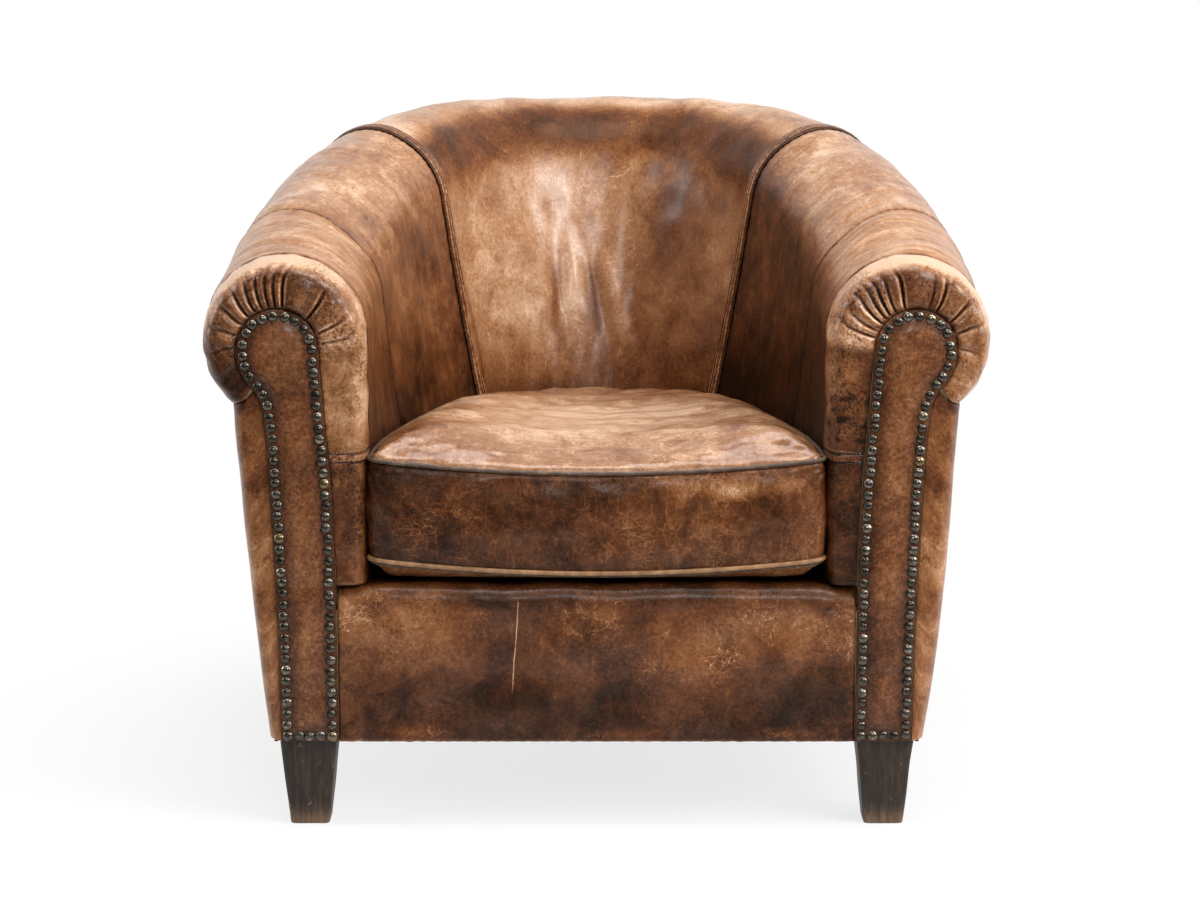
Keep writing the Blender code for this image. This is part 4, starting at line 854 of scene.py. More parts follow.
def front_band(side, word, seed):
    rows, painted_shade = BAND_ROWS, PAINTED_SHADE[word]
    last = seam(1, rows)[:, None] - GAP / HALF_LENGTH
    share = np.concatenate([np.linspace(0, 1, 6)[1:-1], 1 - EDGE_STEPS[::-1] / BAND_WIDTH])
    t = ARM_START + (last - ARM_START) * share[None]
    base = wrap_grid(rows, t, 0.0)
    far = np.linalg.norm(base - base[:, -1:], axis=-1)
    way = np.broadcast_to(wrap_way(len(share))[None], far.shape)
    phase = np.broadcast_to(rows[:, None] - 1, far.shape)
    uv = surface_uv(base, -far)
    crest, cut, lip = gathers(np.clip(phase, -0.02, 0.999), way, CUTS[word])
    z, scroll = base[..., 2], smooth(phase, -0.03, 0.02)
    strip = 1 - scroll
    low_z, high_z = STRIP_SEAM_Z
    stitched = sum(bell(z, line, 0.0011) for line in STRIP_SEAM_Z) * strip
    flap = smooth(z, low_z - 0.0005, low_z + 0.0005) * (1 - smooth(z, low_z, high_z)) * strip
    height = (crest * PLEAT_HEIGHT - cut * CUT_DEPTH) * scroll - stitched * 0.0009 + flap * 0.0007
    height += waves(far, phase * 0.22, 0.016, seed + 3) * 0.0005 * scroll * smooth(way, 0.1, 0.4)
    height += waves(far, uv[..., 1], 0.035, seed + 1, 1.4) * 0.00055 * strip
    height += ridges(z - 0.515, far, CREASES) * strip
    # The rim that hands hold is rubbed pale and carries a painted sheen.
    rim = 0.25 * smooth(phase, -0.5, 0.1) + 0.75 * smooth(phase, 0.08, 0.34)
    rim = rim * 2.53 * bell(way, 1.95, 0.50) * (1 - 0.7 * smooth(phase, 0.58, 0.85))
    wear_and_light = rim + crest * 0.26 + lip * 1.5 + strip * 0.25 * bell(way, 1.5, 0.5) + flap * 0.1
    # Painted light on the right scroll's outer side; the inner side of each scroll is paler.
    wear_and_light = wear_and_light + smooth(phase, 0.72, 0.85) * painted_shade * 0.5 + scroll * (1 - smooth(phase, 0.0, 0.20)) * 0.6
    # A painted glow of light on the left arm's strip.
    wear_and_light = wear_and_light + (1 - painted_shade) * strip * bell(z, 0.465, 0.055) * smooth(far, 0.0, 0.02) * 0.6
    dirt_and_shade = cut * 1.9 + fading(way, 0.08) * 0.7 + fading(far, 0.0018) * 1.1 + stitched * 1.1
    # Darker below the flap, and painted shade over the right arm's strip.
    dirt_and_shade = dirt_and_shade + strip * smooth(z, low_z + 0.001, low_z - 0.002) * 0.42 + painted_shade * strip * 0.6
    dirt_and_shade = dirt_and_shade + scroll * bell(phase, 0.42, 0.22) * (1 - smooth(way, 1.15, 1.6)) * 0.62
    # Painted shade on the left scroll's outer side.
    dirt_and_shade = dirt_and_shade + (0.8 - painted_shade) * smooth(phase, 0.66, 0.82) * (1 - smooth(phase, 0.97, 1.0)) * 0.8
    burnt = waves(far, z, 0.014, seed + 5) * bell(z, 0.455, 0.05)
    # Burnt spots, which lie only on the right arm's strip.
    dirt_and_shade = dirt_and_shade + painted_shade * strip * smooth(burnt, 0.5, 1.2) * 1.5
    outer, inner = relief(base, height - edge_turn(far)), wrap_grid(rows, t, LEATHER)
    panel("arm_front_band_" + word, outer, inner, uv, {"wear_and_light": wear_and_light, "dirt_and_shade": dirt_and_shade}, band_leather,
          mirrored=side > 0)


front_band(-1, "left", 101)
front_band(1, "right", 207)

# %% [markdown]
# ## Outside panels
# The outside of each arm is one piece of leather from the facing's nails, round the front edge and
# back to the seam behind, and one more piece closes the back. They are pulled tight over bare
# frame, so they show only long shallow swells, a puckered line under the roll and a worn hem.

# %% The outside of the arms and of the back
OUTER_HEIGHT, SIDE_LENGTH, UNDER_CREASE_V, HEM_V = 0.36, 0.50, 2.002, 2.998
OUTER_ROWS = np.unique(np.concatenate([UNDER_CREASE_V + EDGE_STEPS / OUTER_HEIGHT,
                                       np.linspace(2.010, 2.990, 82), HEM_V - EDGE_STEPS / OUTER_HEIGHT]))


def outside_panel(name, base, under, along, beside, swells, seed, nailed=False, mirrored=False):
    """A tight outer panel; swells are (size, height) of its long and short waves."""
    uv = surface_uv(base, along)
    up = uv[..., 1]
    ends = np.minimum(up, up[-1:] - up)
    (long_size, long_height), (short_size, short_height) = swells
    height = waves(along, up, long_size, seed, 1.5) * long_height
    height = (height + waves(along, up, short_size, seed + 1, 2.0) * short_height) * smooth(ends, 0.0, 0.03)
    pulled, seamed = puckers(up, along, seed + 2, 0.0006, 0.013), beside
    if nailed:
        height = height * smooth(along, 0.01, 0.05) + pulled * smooth(along, 0.02, 0.05)
        seamed = np.minimum(along + 0.002, beside)
    else:
        height = height + pulled + puckers(beside, up, seed + 3)
    # The hem is rubbed pale; the top under the roll stays darker, with dirt and painted shade in the crease.
    wear_and_light = 0.25 + 0.5 * fading(up[-1:] - up, 0.012) + 0.3 * smooth(up, 0.02, 0.12)
    dirt_and_shade = fading(up, 0.014) * 0.9 + fading(seamed, 0.0025) * 0.8 + fading(seamed, 0.02) * 0.2
    outer = relief(base, height - edge_turn(np.minimum(ends, beside)))
    panel(name, outer, under, uv, {"wear_and_light": wear_and_light, "dirt_and_shade": dirt_and_shade}, side_leather,
          mirrored=mirrored)


v = OUTER_ROWS[:, None]
share = np.concatenate([np.linspace(0, 1, 84)[1:-1], 1 - EDGE_STEPS[::-1] / SIDE_LENGTH])
t = ARM_START + (float(seam(3, 2.5)) - GAP / HALF_LENGTH - ARM_START) * share[None] + 0 * v
base, under = wrap_grid(OUTER_ROWS, t, 0.0), wrap_grid(OUTER_ROWS, t, LEATHER)
far = np.concatenate([0 * v, np.cumsum(np.linalg.norm(np.diff(base, axis=1), axis=-1), 1)], 1)
for side, word, seed in ((-1, "left", 301), (1, "right", 311)):
    outside_panel("outside_arm_" + word, base, under, far, far[:, -1:] - far,
                  ((0.16, 0.0013), (0.04, 0.0003)), seed, True, side > 0)
t, beside, u = panel_lines(3, 4, OUTER_ROWS, 150)
outside_panel("outside_back", tub(t, v), tub(t, v, LEATHER), u, beside, ((0.18, 0.0015), (0.05, 0.0003)), 321)

# %% [markdown]
# ## Facings
# Each facing is a board with a thin pad under its leather: flat along the nails and gently crowned
# in the middle. Every point's height comes from its distance to the outline, so the crown follows
# the keyhole shape by itself. The grid is made of level lines from one edge to the other, closer
# together where the arch closes.

# %% Crowned facings


def facing_sides(z):
    """The facing's inner and outer edge at each height."""
    arch = np.sqrt(np.clip(ARCH_RADIUS ** 2 - (z - ARCH_Z) ** 2, 0, None))
    return (np.where(z < ARCH_Z, edge_x(INNER_EDGE, z), ARCH_X - arch),
            np.where(z < ARCH_Z, edge_x(OUTER_EDGE, z), ARCH_X + arch))


def keyhole(inset=0.0, steps=10):
    """The facing's closed outline, drawn in by an inset."""
    arch = np.linspace(0, math.pi, 40)[1:-1]
    top = np.stack([ARCH_X - ARCH_RADIUS * np.cos(arch), ARCH_Z + ARCH_RADIUS * np.sin(arch)], 1)
    line = np.concatenate([catmull(INNER_EDGE, steps), top, catmull(OUTER_EDGE, steps)])
    if inset:
        before, after = line - np.roll(line, 1, 0), np.roll(line, -1, 0) - line
        before /= np.linalg.norm(before, axis=1)[:, None]
        mean = before + after / np.linalg.norm(after, axis=1)[:, None]
        mean /= np.linalg.norm(mean, axis=1)[:, None]
        cosine = np.maximum((mean * before).sum(1), 0.5)
        line = line + np.stack([mean[:, 1], -mean[:, 0]], 1) / cosine[:, None] * inset
    return line


def distance_to(line, x, z):
    """Shortest distance from points to a closed line."""
    shortest = np.full(x.shape, 9.0)
    for (ax, az), (bx, bz) in zip(line, np.roll(line, -1, 0)):
        length = (bx - ax) ** 2 + (bz - az) ** 2
        w = np.clip(((x - ax) * (bx - ax) + (z - az) * (bz - az)) / length, 0, 1)
        shortest = np.minimum(shortest, np.hypot(x - ax - w * (bx - ax), z - az - w * (bz - az)))
    return shortest


CROWN, SUNK_NAIL, DOME_FLATNESS = 0.0052, 0.0002, 0.64
levels = np.concatenate([FACING_FOOT_Z + np.array([0, 0.0004, 0.001, 0.002, 0.004]),
                         np.linspace(0.106, ARCH_Z, 110),
                         ARCH_Z + ARCH_RADIUS * np.sin(np.linspace(0, math.pi / 2, 34)[1:])])
levels[-1] -= 1e-5
inner, outer = (edge[:, None] for edge in facing_sides(levels))
x = inner + (outer - inner) * ((1 - np.cos(np.linspace(0, math.pi, 39))) / 2)[::-1]
z = levels[:, None] + 0 * x
to_edge = distance_to(keyhole(), x, z)
dirt_and_shade = fading(to_edge, 0.004) * 0.6 + fading(np.abs(to_edge - NAIL_INSET - 0.006), 0.004) * 0.45
wear_and_light = smooth(to_edge, 0.012, 0.03) * 0.35 + smooth(z, 0.42, 0.25) * 0.10
for side, word, seed in ((-1, "left", 401), (1, "right", 411)):
    dents = sum(0.0007 * bell(z, k, 0.010) for k in np.random.default_rng(seed).uniform(0.13, 0.5, 5))
    swells = (waves(x, z, 0.05, seed, 2.0) * 0.0005 - dents) * smooth(to_edge, 0.008, 0.02)
    crown = CROWN * smooth(to_edge, 0.006, 0.024) - edge_turn(to_edge, 0.0016) + swells
    front = np.stack([-x, FACING_D - crown - CENTRE_D, z], -1)
    back = np.stack([-x, 0 * x + FRAME_D - GAP - CENTRE_D, z], -1)
    panel("arm_facing_" + word, front, back, np.stack([x, z], -1), {"wear_and_light": wear_and_light, "dirt_and_shade": dirt_and_shade},
          facing_leather, mirrored=side > 0)

# %% [markdown]
# ## Nails
# The nails stand nearly shoulder to shoulder round each facing. They are driven by hand, so no two
# sit quite level: a Geometry Nodes tree puts a low dome on every point of a line, nudges, tips and
# sizes each one by chance from a fixed seed, and writes a number on it that its metal reads.

# %% Trees that grow pieces along a line


class Growth(Nodes):
    """A Geometry Nodes tree with named sizes, which makes a smooth piece in one finish."""

    def __init__(self, name, **sizes):
        super().__init__(bpy.data.node_groups.new(name, "GeometryNodeTree"))
        for size, kind in {"Geometry": "Geometry", **sizes, "Finish": "Material"}.items():
            self.tree.interface.new_socket(size, in_out="INPUT", socket_type="NodeSocket" + kind)
        self.tree.interface.new_socket("Geometry", in_out="OUTPUT", socket_type="NodeSocketGeometry")
        self.sockets = self.tree.nodes.new("NodeGroupInput").outputs

    def given(self, name):
        """One of the tree's own inputs."""
        return Value(self, self.sockets[name])

    def vector(self, x, y, z):
        return self.node("ShaderNodeCombineXYZ", {0: x, 1: y, 2: z})

    def chance(self, low, high, seed):
        """A number drawn for every point."""
        return self.node("FunctionNodeRandomValue", {2: low, 3: high, "Seed": seed}, 1, data_type="FLOAT")

    def chances(self, low, high, seed):
        """A vector drawn for every point."""
        values = {0: self.vector(*low), 1: self.vector(*high), "Seed": seed}
        return self.node("FunctionNodeRandomValue", values, data_type="FLOAT_VECTOR")

    def ball(self, segments, rings, radius, stretch):
        """A ball with a size of its own along each axis."""
        ball = self.node("GeometryNodeMeshUVSphere", {"Segments": segments, "Rings": rings, "Radius": radius})
        return self.node("GeometryNodeTransform", {"Geometry": ball, "Scale": self.vector(*stretch)})

    def path(self, step):
        """The given line with a point at every step."""
        curve = self.node("GeometryNodeMeshToCurve", {0: self.given("Geometry")})
        values = {"Curve": curve, "Length": self.given(step)}
        return self.node("GeometryNodeResampleCurve", values, mode="LENGTH")

    def on_points(self, points, piece, turn, size):
        """A copy of a piece on every point."""
        values = {"Points": points, "Instance": piece, "Rotation": turn, "Scale": size}
        return self.node("GeometryNodeInstanceOnPoints", values)

    def end(self, shape):
        """Makes copies real, shades them smooth and gives them the finish."""
        real = self.node("GeometryNodeRealizeInstances", {0: shape})
        soft = self.node("GeometryNodeSetShadeSmooth", {0: real})
        done = self.node("GeometryNodeSetMaterial", {"Geometry": soft, "Material": self.given("Finish")})
        self.set(self.tree.nodes.new("NodeGroupOutput").inputs[0], done)


def grown(name, points, edges, growth, finish, slot, replaced=(), **sizes):
    """Runs a tree on a line of points and shows the plain mesh that it makes."""
    line = bpy.data.meshes.new(name + " line")
    line.from_pydata(np.asarray(points).tolist(), edges, [])
    source = new_piece(name + " line", line)
    modifier = source.modifiers.new("grow", "NODES")
    modifier.node_group = growth.tree
    sizes["Finish"] = finish
    for item in growth.tree.interface.items_tree:
        if item.in_out == "INPUT" and item.name in sizes:
            modifier[item.identifier] = sizes[item.name]
    bpy.context.view_layer.update()
    solid = applied(source)
    bpy.data.objects.remove(source)
    solid.name = name
    finish_piece(new_piece(name, solid), finish, replaced)


nailing = Growth("nailing", Radius="Float", Flatness="Float", Tip="Float", Nudge="Float", Seed="Int")
seed, tip, nudge = (nailing.given(name) for name in ("Seed", "Tip", "Nudge"))
dome = nailing.ball(14, 10, nailing.given("Radius"), (1.0, 1.0, nailing.given("Flatness")))
offset = nailing.chances((0.0 - nudge, 0.0, 0.0 - nudge), (nudge, 0.0, nudge), seed)
moved = nailing.node("GeometryNodeSetPosition", {"Geometry": nailing.given("Geometry"), "Offset": offset})
tipped = nailing.chances((0.0 - tip, 0.0 - tip, 0.0), (tip, tip, 6.28), seed)
forward = nailing.node("FunctionNodeRotateEuler", {0: (math.pi / 2, 0, 0), "Rotate By": tipped}, space="LOCAL")
each = nailing.on_points(moved, dome, forward, nailing.chance(0.92, 1.06, seed))
nailing.end(nailing.node("GeometryNodeStoreNamedAttribute",
                         {"Geometry": each, "Name": "luck", "Value": nailing.chance(0.0, 1.0, seed)},
                         data_type="FLOAT", domain="INSTANCE"))

# %% [markdown]
# The domes are iron or brass that has gone dark: patches and pits run from nearly black to polished
# grey, each nail a little lighter or darker, and on a few of them yellow brass shows through.

# %% Nail metal and the nails
f = Finish("aged nail metal", Specular_IOR_Level=0.5)
at = f.place()
pits, dirt, luck = f.noise(at, 420, 4, 0.65), f.noise(at, 150, 3, 0.6), f.mask("luck")
tone = dirt * 0.7 + pits * 0.4 + luck * 0.16 - 0.16
iron = f.colours(tone, [(0.30, (0.020, 0.016, 0.012)), (0.54, (0.115, 0.10, 0.078)),
                        (0.84, (0.54, 0.49, 0.41))])
gold = f.colours(tone, [(0.25, (0.04, 0.026, 0.013)), (0.55, (0.19, 0.14, 0.078)),
                        (0.85, (0.38, 0.30, 0.18))])
nail_metal = f.done(f.mix((luck - 0.965).ramp(0.0, 0.02), iron, gold), (pits - 0.5) * 0.35 + 0.22,
                    f.bump(pits * 0.4 + dirt, 0.0006, 0.35), (dirt - 0.5) * 0.6 + 0.88)


def even_points(line, pitch):
    """Points at equal steps along a closed line."""
    ring = np.concatenate([line, line[:1]])
    way = np.concatenate([[0], np.cumsum(np.linalg.norm(np.diff(ring, axis=0), axis=1))])
    at = np.linspace(0, way[-1], round(way[-1] / pitch), endpoint=False)
    return np.stack([np.interp(at, way, ring[:, k]) for k in range(ring.shape[1])], 1)


heads = even_points(keyhole(NAIL_INSET), NAIL_PITCH)
for side, word in SIDES:
    depth = np.full(len(heads), FACING_D - SUNK_NAIL - CENTRE_D)
    grown("nails_" + word, np.stack([side * heads[:, 0], depth, heads[:, 1]], 1), [], nailing, nail_metal,
          "nail_brass", Radius=NAIL_RADIUS + 0.0003, Flatness=DOME_FLATNESS, Tip=0.20, Nudge=0.0007,
          Seed=40 + side)

# %% [markdown]
# ## Stitches
# Rows of stitches hold down the felled seams, the flap on the front of each arm and the cushion's
# borders. One more tree walks along a line, sets a short plump thread at every step and turns it
# along the line, so that a row of two hundred stitches is only its path and three sizes.

# %% A tree that sews along a line
sewing = Growth("sewing", Pitch="Float", Length="Float", Radius="Float")
radius = sewing.given("Radius")
thread = sewing.ball(6, 5, 1.0, (radius, radius, sewing.given("Length")))
heading = sewing.node("GeometryNodeInputTangent")
turned = sewing.node("FunctionNodeAlignRotationToVector", {"Vector": heading}, axis="Z")
sewing.end(sewing.on_points(sewing.path("Pitch"), thread, turned, sewing.chance(0.85, 1.12, 21)))


def thread_finish(name, dark, light):
    f = Finish(name)
    at = f.place()
    twist, dirt = f.noise(at, 1500, 2, 0.5), f.noise(at, 60, 4, 0.7)
    return f.done(f.colours(dirt * 0.8 + twist * 0.3, [(0.35, dark), (0.75, light)]), (dirt - 0.5) * 0.2 + 0.7,
                  f.bump(twist, 0.0002, 0.8))


brown_thread = thread_finish("brown thread", (0.020, 0.010, 0.006), (0.12, 0.062, 0.032))
pale_thread = thread_finish("pale thread", (0.11, 0.065, 0.034), (0.40, 0.27, 0.155))


def sew(name, lines, finish, pitch, length, radius):
    """Stitches along several lines of points, as one piece."""
    edges, start = [], 0
    for line in lines:
        edges += [(k, k + 1) for k in range(start, start + len(line) - 1)]
        start += len(line)
    grown(name, np.concatenate(lines), edges, sewing, finish, "welt_leather", Pitch=pitch, Length=length,
          Radius=radius)


# %% Stitches of the tub
v = np.linspace(0.25, 1.99, 260)
for number, word, turn in ((3, "left", 1), (4, "right", -1)):
    rows = [tub(seam(number, v) + turn * way / HALF_LENGTH, v, -0.0015) for way in STITCH_ROWS]
    sew("back_seam_stitches_" + word, rows, brown_thread, 0.0042, 0.0017, 0.0006)
flap_rows = (np.array(STRIP_SEAM_Z) - DECK_Z) / (ARCH_Z - DECK_Z)
flap_lines = wrap_grid(flap_rows, np.tile(0.04 + np.linspace(0, 0.012, 4), (2, 1)), 0.0)[:, 3:] - (0, 0.0001, 0)
for side, word in SIDES:
    sew("arm_flap_stitches_" + word, list(flap_lines * (-side, 1, 1)), pale_thread, 0.0040, 0.0014, 0.0004)

# %% [markdown]
# ## The front rail
# A rail crosses the front under the seat. Its leather comes from the seat deck, rounds a padded
# edge and is tacked under the hem, where it has frayed to bare hide. Decades of heels have scuffed
# it through the wax, and one long scratch runs down it. The skin is a profile carried from side to
# side, with swells, a sunk edge at each end and a ragged hem.

# %% Rail cover


def rail_profile(offset):
    """Depth and height of the rail cover's line, from the hem over the edge to the deck."""
    radius = COVER_ROUND - offset
    turn = np.linspace(0, math.pi / 2, 14)
    d = COVER_D + COVER_ROUND - radius * np.cos(turn)
    z = COVER_TOP - COVER_ROUND + radius * np.sin(turn)
    low = np.linspace(HEM_Z, COVER_TOP - COVER_ROUND, 44)[:-1]
    flat = np.linspace(COVER_D + COVER_ROUND, COVER_BACK_D, 14)[1:]
    return (np.concatenate([np.full_like(low, COVER_D + offset), d, flat])[:, None],
            np.concatenate([low, z, np.full_like(flat, COVER_TOP - offset)])[:, None])


# Each rubbed place of the rail: its middle (x, z), half its width and height, and how bare it is.
RUBS = [(0.110, 0.200, 0.065, 0.045, 0.55), (-0.205, 0.232, 0.060, 0.032, 0.55),
        (0.005, 0.240, 0.045, 0.018, 0.50), (0.225, 0.225, 0.045, 0.030, 0.50),
        (-0.20, 0.108, 0.030, 0.007, 0.9), (0.03, 0.106, 0.040, 0.006, 0.7), (0.20, 0.107, 0.030, 0.006, 0.8)]
EDGE_DROOP, end_steps = 0.0055, np.array([0, 0.0003, 0.0008, 0.0016, 0.0028, 0.0045])
rail_x = np.concatenate([-COVER_HALF_WIDTH + end_steps, np.linspace(-0.274, 0.274, 190),
                         COVER_HALF_WIDTH - end_steps[::-1]])[None]
grids = []
for offset in (0.0, COVER_THICK):
    d, z = rail_profile(offset)
    droop = EDGE_DROOP * smooth(np.abs(rail_x), 0.225, COVER_HALF_WIDTH) * smooth(z, 0.235, 0.270)
    droop = droop * (1 - smooth(d, 0.024, 0.060))
    grids.append(np.stack(np.broadcast_arrays(rail_x, d - CENTRE_D, z - droop), -1))
base, under = grids
uv = surface_uv(base, rail_x)
x, up = uv[..., 0], uv[..., 1]
end = COVER_HALF_WIDTH - np.abs(x)
height = waves(x, up, 0.13, 501, 0.5) * 0.0011 + waves(x, up, 0.045, 502) * 0.00035
height = height * smooth(end, 0.0, 0.02) * smooth(up, 0.0, 0.03)
height = height - edge_turn(end, 0.0042) - edge_turn(up, 0.0016)
outer = relief(base, height)
torn = np.clip(waves(x, up * 0, 0.09, 504) - 0.4, 0, 1)
ragged = waves(x, up * 0, 0.011, 503) * (0.0002 + 0.0014 * torn) * fading(up, 0.004)
outer[..., 2] += ragged
under[..., 2] += ragged
d, z = base[..., 1] + CENTRE_D, base[..., 2]
wear_and_light = smooth(up, 0.004, 0.0) + bell(z, 0.225, 0.035) * 0.16 + spots(x, z, RUBS) + fading(end, 0.02) * 0.30
dirt_and_shade = smooth(z, 0.190, 0.140) * 0.50 + smooth(z, 0.240, 0.258) * 0.25
# A painted shadow on the flat top, under the cushion.
dirt_and_shade = dirt_and_shade + smooth(z, 0.262, 0.2725) * smooth(d, 0.010, 0.035) * 0.8
panel("front_rail_cover", outer, under, uv, {"wear_and_light": wear_and_light, "dirt_and_shade": dirt_and_shade}, rail_leather,
      ["rail_edge_pad"])

# %% [markdown]
# ## The seat cushion
# The loose cushion is a bag of leather over a foam block: a top and a bottom panel sewn to a
# boxing strip. It is crowned where the foam pushes up, and its front corners are pinched where
# three edges meet. Blender's Cloth makes that: the bag starts a little small, the sewn lines are
# pinned, and pressure inside fills the leather between them.

# %% The cushion's outline
CUSHION_GAP, CUSHION_FRONT_D, CUSHION_CORNER_D, CUSHION_MIDDLE_D = 0.0065, 0.010, 0.062, 0.245
CUSHION_FOOT, LOWER_WELT_Z, UPPER_WELT_Z = 0.2723, 0.283, 0.3925
WELT_DROOP, WELT_SEAT, SQUARE = 0.0175, 0.0066, 0.30


def cushion_outline(z):
    """The cushion seen from above at a height: against the tub behind, free in front."""
    t = 2 - np.linspace(float(way_at_depth(CUSHION_CORNER_D)), 1.0, 60)
    low, high = tub(t, 0.0, -CUSHION_GAP), tub(t, 1.0, -CUSHION_GAP)
    w = ((z - low[:, 2]) / (high[:, 2] - low[:, 2]))[:, None]
    right = (low + (high - low) * w)[:, :2] + (0, CENTRE_D)
    corner_x, corner_d = right[0]
    depth, turn = corner_d - CUSHION_FRONT_D, np.linspace(math.pi / 2, 0, 22)[:-1]
    corner = np.stack([corner_x - depth * (1 - np.cos(turn) ** SQUARE),
                       corner_d - depth * np.sin(turn) ** SQUARE], 1)
    front = np.stack([np.linspace(0, corner[0, 0], 24)[:-1], np.full(23, CUSHION_FRONT_D)], 1)
    half = np.concatenate([front, corner, right])
    half[:, 0] += 0.0050 * smooth(half[:, 0], 0.18, 0.235) * smooth(half[:, 1], 0.036, 0.012)
    return np.concatenate([half, (half * (-1, 1))[-2:0:-1]])


def welt_lift(x, d):
    """How far above its lowest point a sewn line runs: it sags along the free front."""
    in_front = np.clip(1 - d / CUSHION_CORNER_D, 0, 1)
    return WELT_DROOP * (1 - in_front * (1 - (np.abs(x) / DECK_HALF_WIDTH) ** 2))


def cushion_ring(z, inset, droop):
    """One level of the cushion, drawn in from its outline, as points."""
    ring = cushion_outline(min(max(z, LOWER_WELT_Z), UPPER_WELT_Z))
    along = np.roll(ring, -1, 0) - np.roll(ring, 1, 0)
    along /= np.linalg.norm(along, axis=1)[:, None]
    square = min(inset, WELT_SEAT)
    ring = ring + np.stack([-along[:, 1], along[:, 0]], 1) * square
    away = ring - (0, CUSHION_MIDDLE_D)
    away *= (1 - (inset - square) / np.linalg.norm(away, axis=1))[:, None]
    x, d = away[:, 0], away[:, 1] + CUSHION_MIDDLE_D
    return np.stack([x, d - CENTRE_D, z + droop * welt_lift(ring[:, 0], ring[:, 1])], 1)


rim = cushion_outline(UPPER_WELT_Z)
print("cushion outline", len(rim), "points")

# %% The bag before it is filled
# Each level is its height above a line, how far it is drawn in, and its share of the welt's sag.
FOOT_LEVELS = [(0.0, 0.060, 0.0), (0.0012, 0.018, 0.3)]
LOW_LEVELS = [(-0.004, 0.000, 1.0), (0.0, -0.003, 1.0), (0.010, -0.004, 1.0), (0.035, -0.0055, 1.0),
              (0.058, -0.0060, 1.0)]
HIGH_LEVELS = [(-0.030, -0.0055, 1.0), (-0.010, -0.004, 1.0), (0.0, -0.003, 1.0), (0.006, 0.002, 1.0),
               (0.017, 0.014, 0.9), (0.027, 0.034, 0.6), (0.0305, 0.072, 0.35), (0.0315, 0.125, 0.15)]
BAG_CELL, SEWN_NEAR, RIM_NEAR = 0.0058, 0.0042, 0.013
BAG_LEVELS = ((CUSHION_FOOT, FOOT_LEVELS), (LOWER_WELT_Z, LOW_LEVELS), (UPPER_WELT_Z, HIGH_LEVELS))
bag = stacked_rings("seat_cushion", [cushion_ring(line_z + above, inset, droop) for line_z, levels in BAG_LEVELS
                                     for above, inset, droop in levels])
bpy.context.view_layer.objects.active = bag
remesh = bag.modifiers.new("remesh", "REMESH")
remesh.mode, remesh.voxel_size = "VOXEL", BAG_CELL
bag.data = applied(bag)
bag.modifiers.clear()
print("cushion bag:", len(bag.data.vertices), "points")


def points_of(mesh):
    flat = np.empty(len(mesh.vertices) * 3)
    mesh.vertices.foreach_get("co", flat)
    return flat.reshape(-1, 3)


def on_cushion(points):
    """x, d, z, the heights above both sewn lines, and how far inside the outline, of points."""
    x, d, z = points[:, 0], points[:, 1] + CENTRE_D, points[:, 2]
    lift = welt_lift(x, d)
    return x, d, z, z - LOWER_WELT_Z - lift, z - UPPER_WELT_Z - lift, distance_to(rim, x, d)


# %% Filling the bag
start = points_of(bag.data)
x, d, z, low, high, edge = on_cushion(start)
sewn = (np.minimum(np.abs(low), np.abs(high)) < SEWN_NEAR) & (edge < RIM_NEAR)
rests = start[:, 2] < CUSHION_FOOT + 0.003
group = bag.vertex_groups.new(name="sewn")
group.add(np.flatnonzero(sewn | rests).tolist(), 1.0, "REPLACE")
cloth = bag.modifiers.new("fill", "CLOTH")
for setting, value in {"quality": 5, "mass": 0.3, "tension_stiffness": 3, "compression_stiffness": 3,
                       "shear_stiffness": 1, "bending_stiffness": 0.3, "use_pressure": True,
                       "uniform_pressure_force": 4.0, "vertex_group_mass": "sewn"}.items():
    setattr(cloth.settings, setting, value)
cloth.settings.effector_weights.gravity = 0.0
cloth.point_cache.frame_start, cloth.point_cache.frame_end = 1, 20
for moment in range(1, 21):
    bpy.context.scene.frame_set(moment)
blown = points_of(bag.evaluated_get(bpy.context.evaluated_depsgraph_get()).to_mesh())
bag.modifiers.clear()
bag.vertex_groups.clear()
bpy.context.scene.frame_set(1)
move = blown - start
far = np.linalg.norm(move, axis=1)
cap = 0.0045 + 0.0025 * smooth(edge, 0.015, 0.05)
move *= np.minimum(1, cap / np.maximum(far, 1e-9))[:, None]
filled = start + move
print("cushion filled, moved at most", round(float(far.max()) * 1000, 1), "mm")

# %% [markdown]
# One subdivision smooths the filled bag. Then the small things that a simulation this coarse
# cannot show are pressed into it along its normals: pulls that fan out of the front corners, fine
# horizontal creases on the boxing and lazy swells on the seat. The masks tell the material which
# leather is which: the boxing dark and crackled, with painted light and a painted highlight on its
# right end and painted shade on its left end, the seat rubbed, with a painted sheen in its middle,
# and the underside a paler split.

# %% Creases and masks of the cushion
bag.name = "seat_cushion_form"
bag.data.vertices.foreach_set("co", filled.ravel())
smoothing = bag.modifiers.new("smooth", "SUBSURF")
smoothing.levels = smoothing.render_levels = 1
fine_mesh = applied(bag)
bpy.data.objects.remove(bag)
points = points_of(fine_mesh)
outward = np.empty(len(points) * 3)
fine_mesh.vertex_normals.foreach_get("vector", outward)
outward = outward.reshape(-1, 3)
x, d, z, low, high, edge = on_cushion(points)
off = np.abs(x)
boxing = smooth(low, 0.0, 0.003) * (1 - smooth(high, -0.003, 0.0))
seat = smooth(high, -0.002, 0.001)
corner = sum(np.exp(-np.hypot((x - side * 0.243) / 0.040, (d - 0.030) / 0.040) ** 1.5) for side in (-1, 1))
fan = np.arctan2(np.abs(z - UPPER_WELT_Z - 0.012), np.maximum(0.252 - off, 0.002))
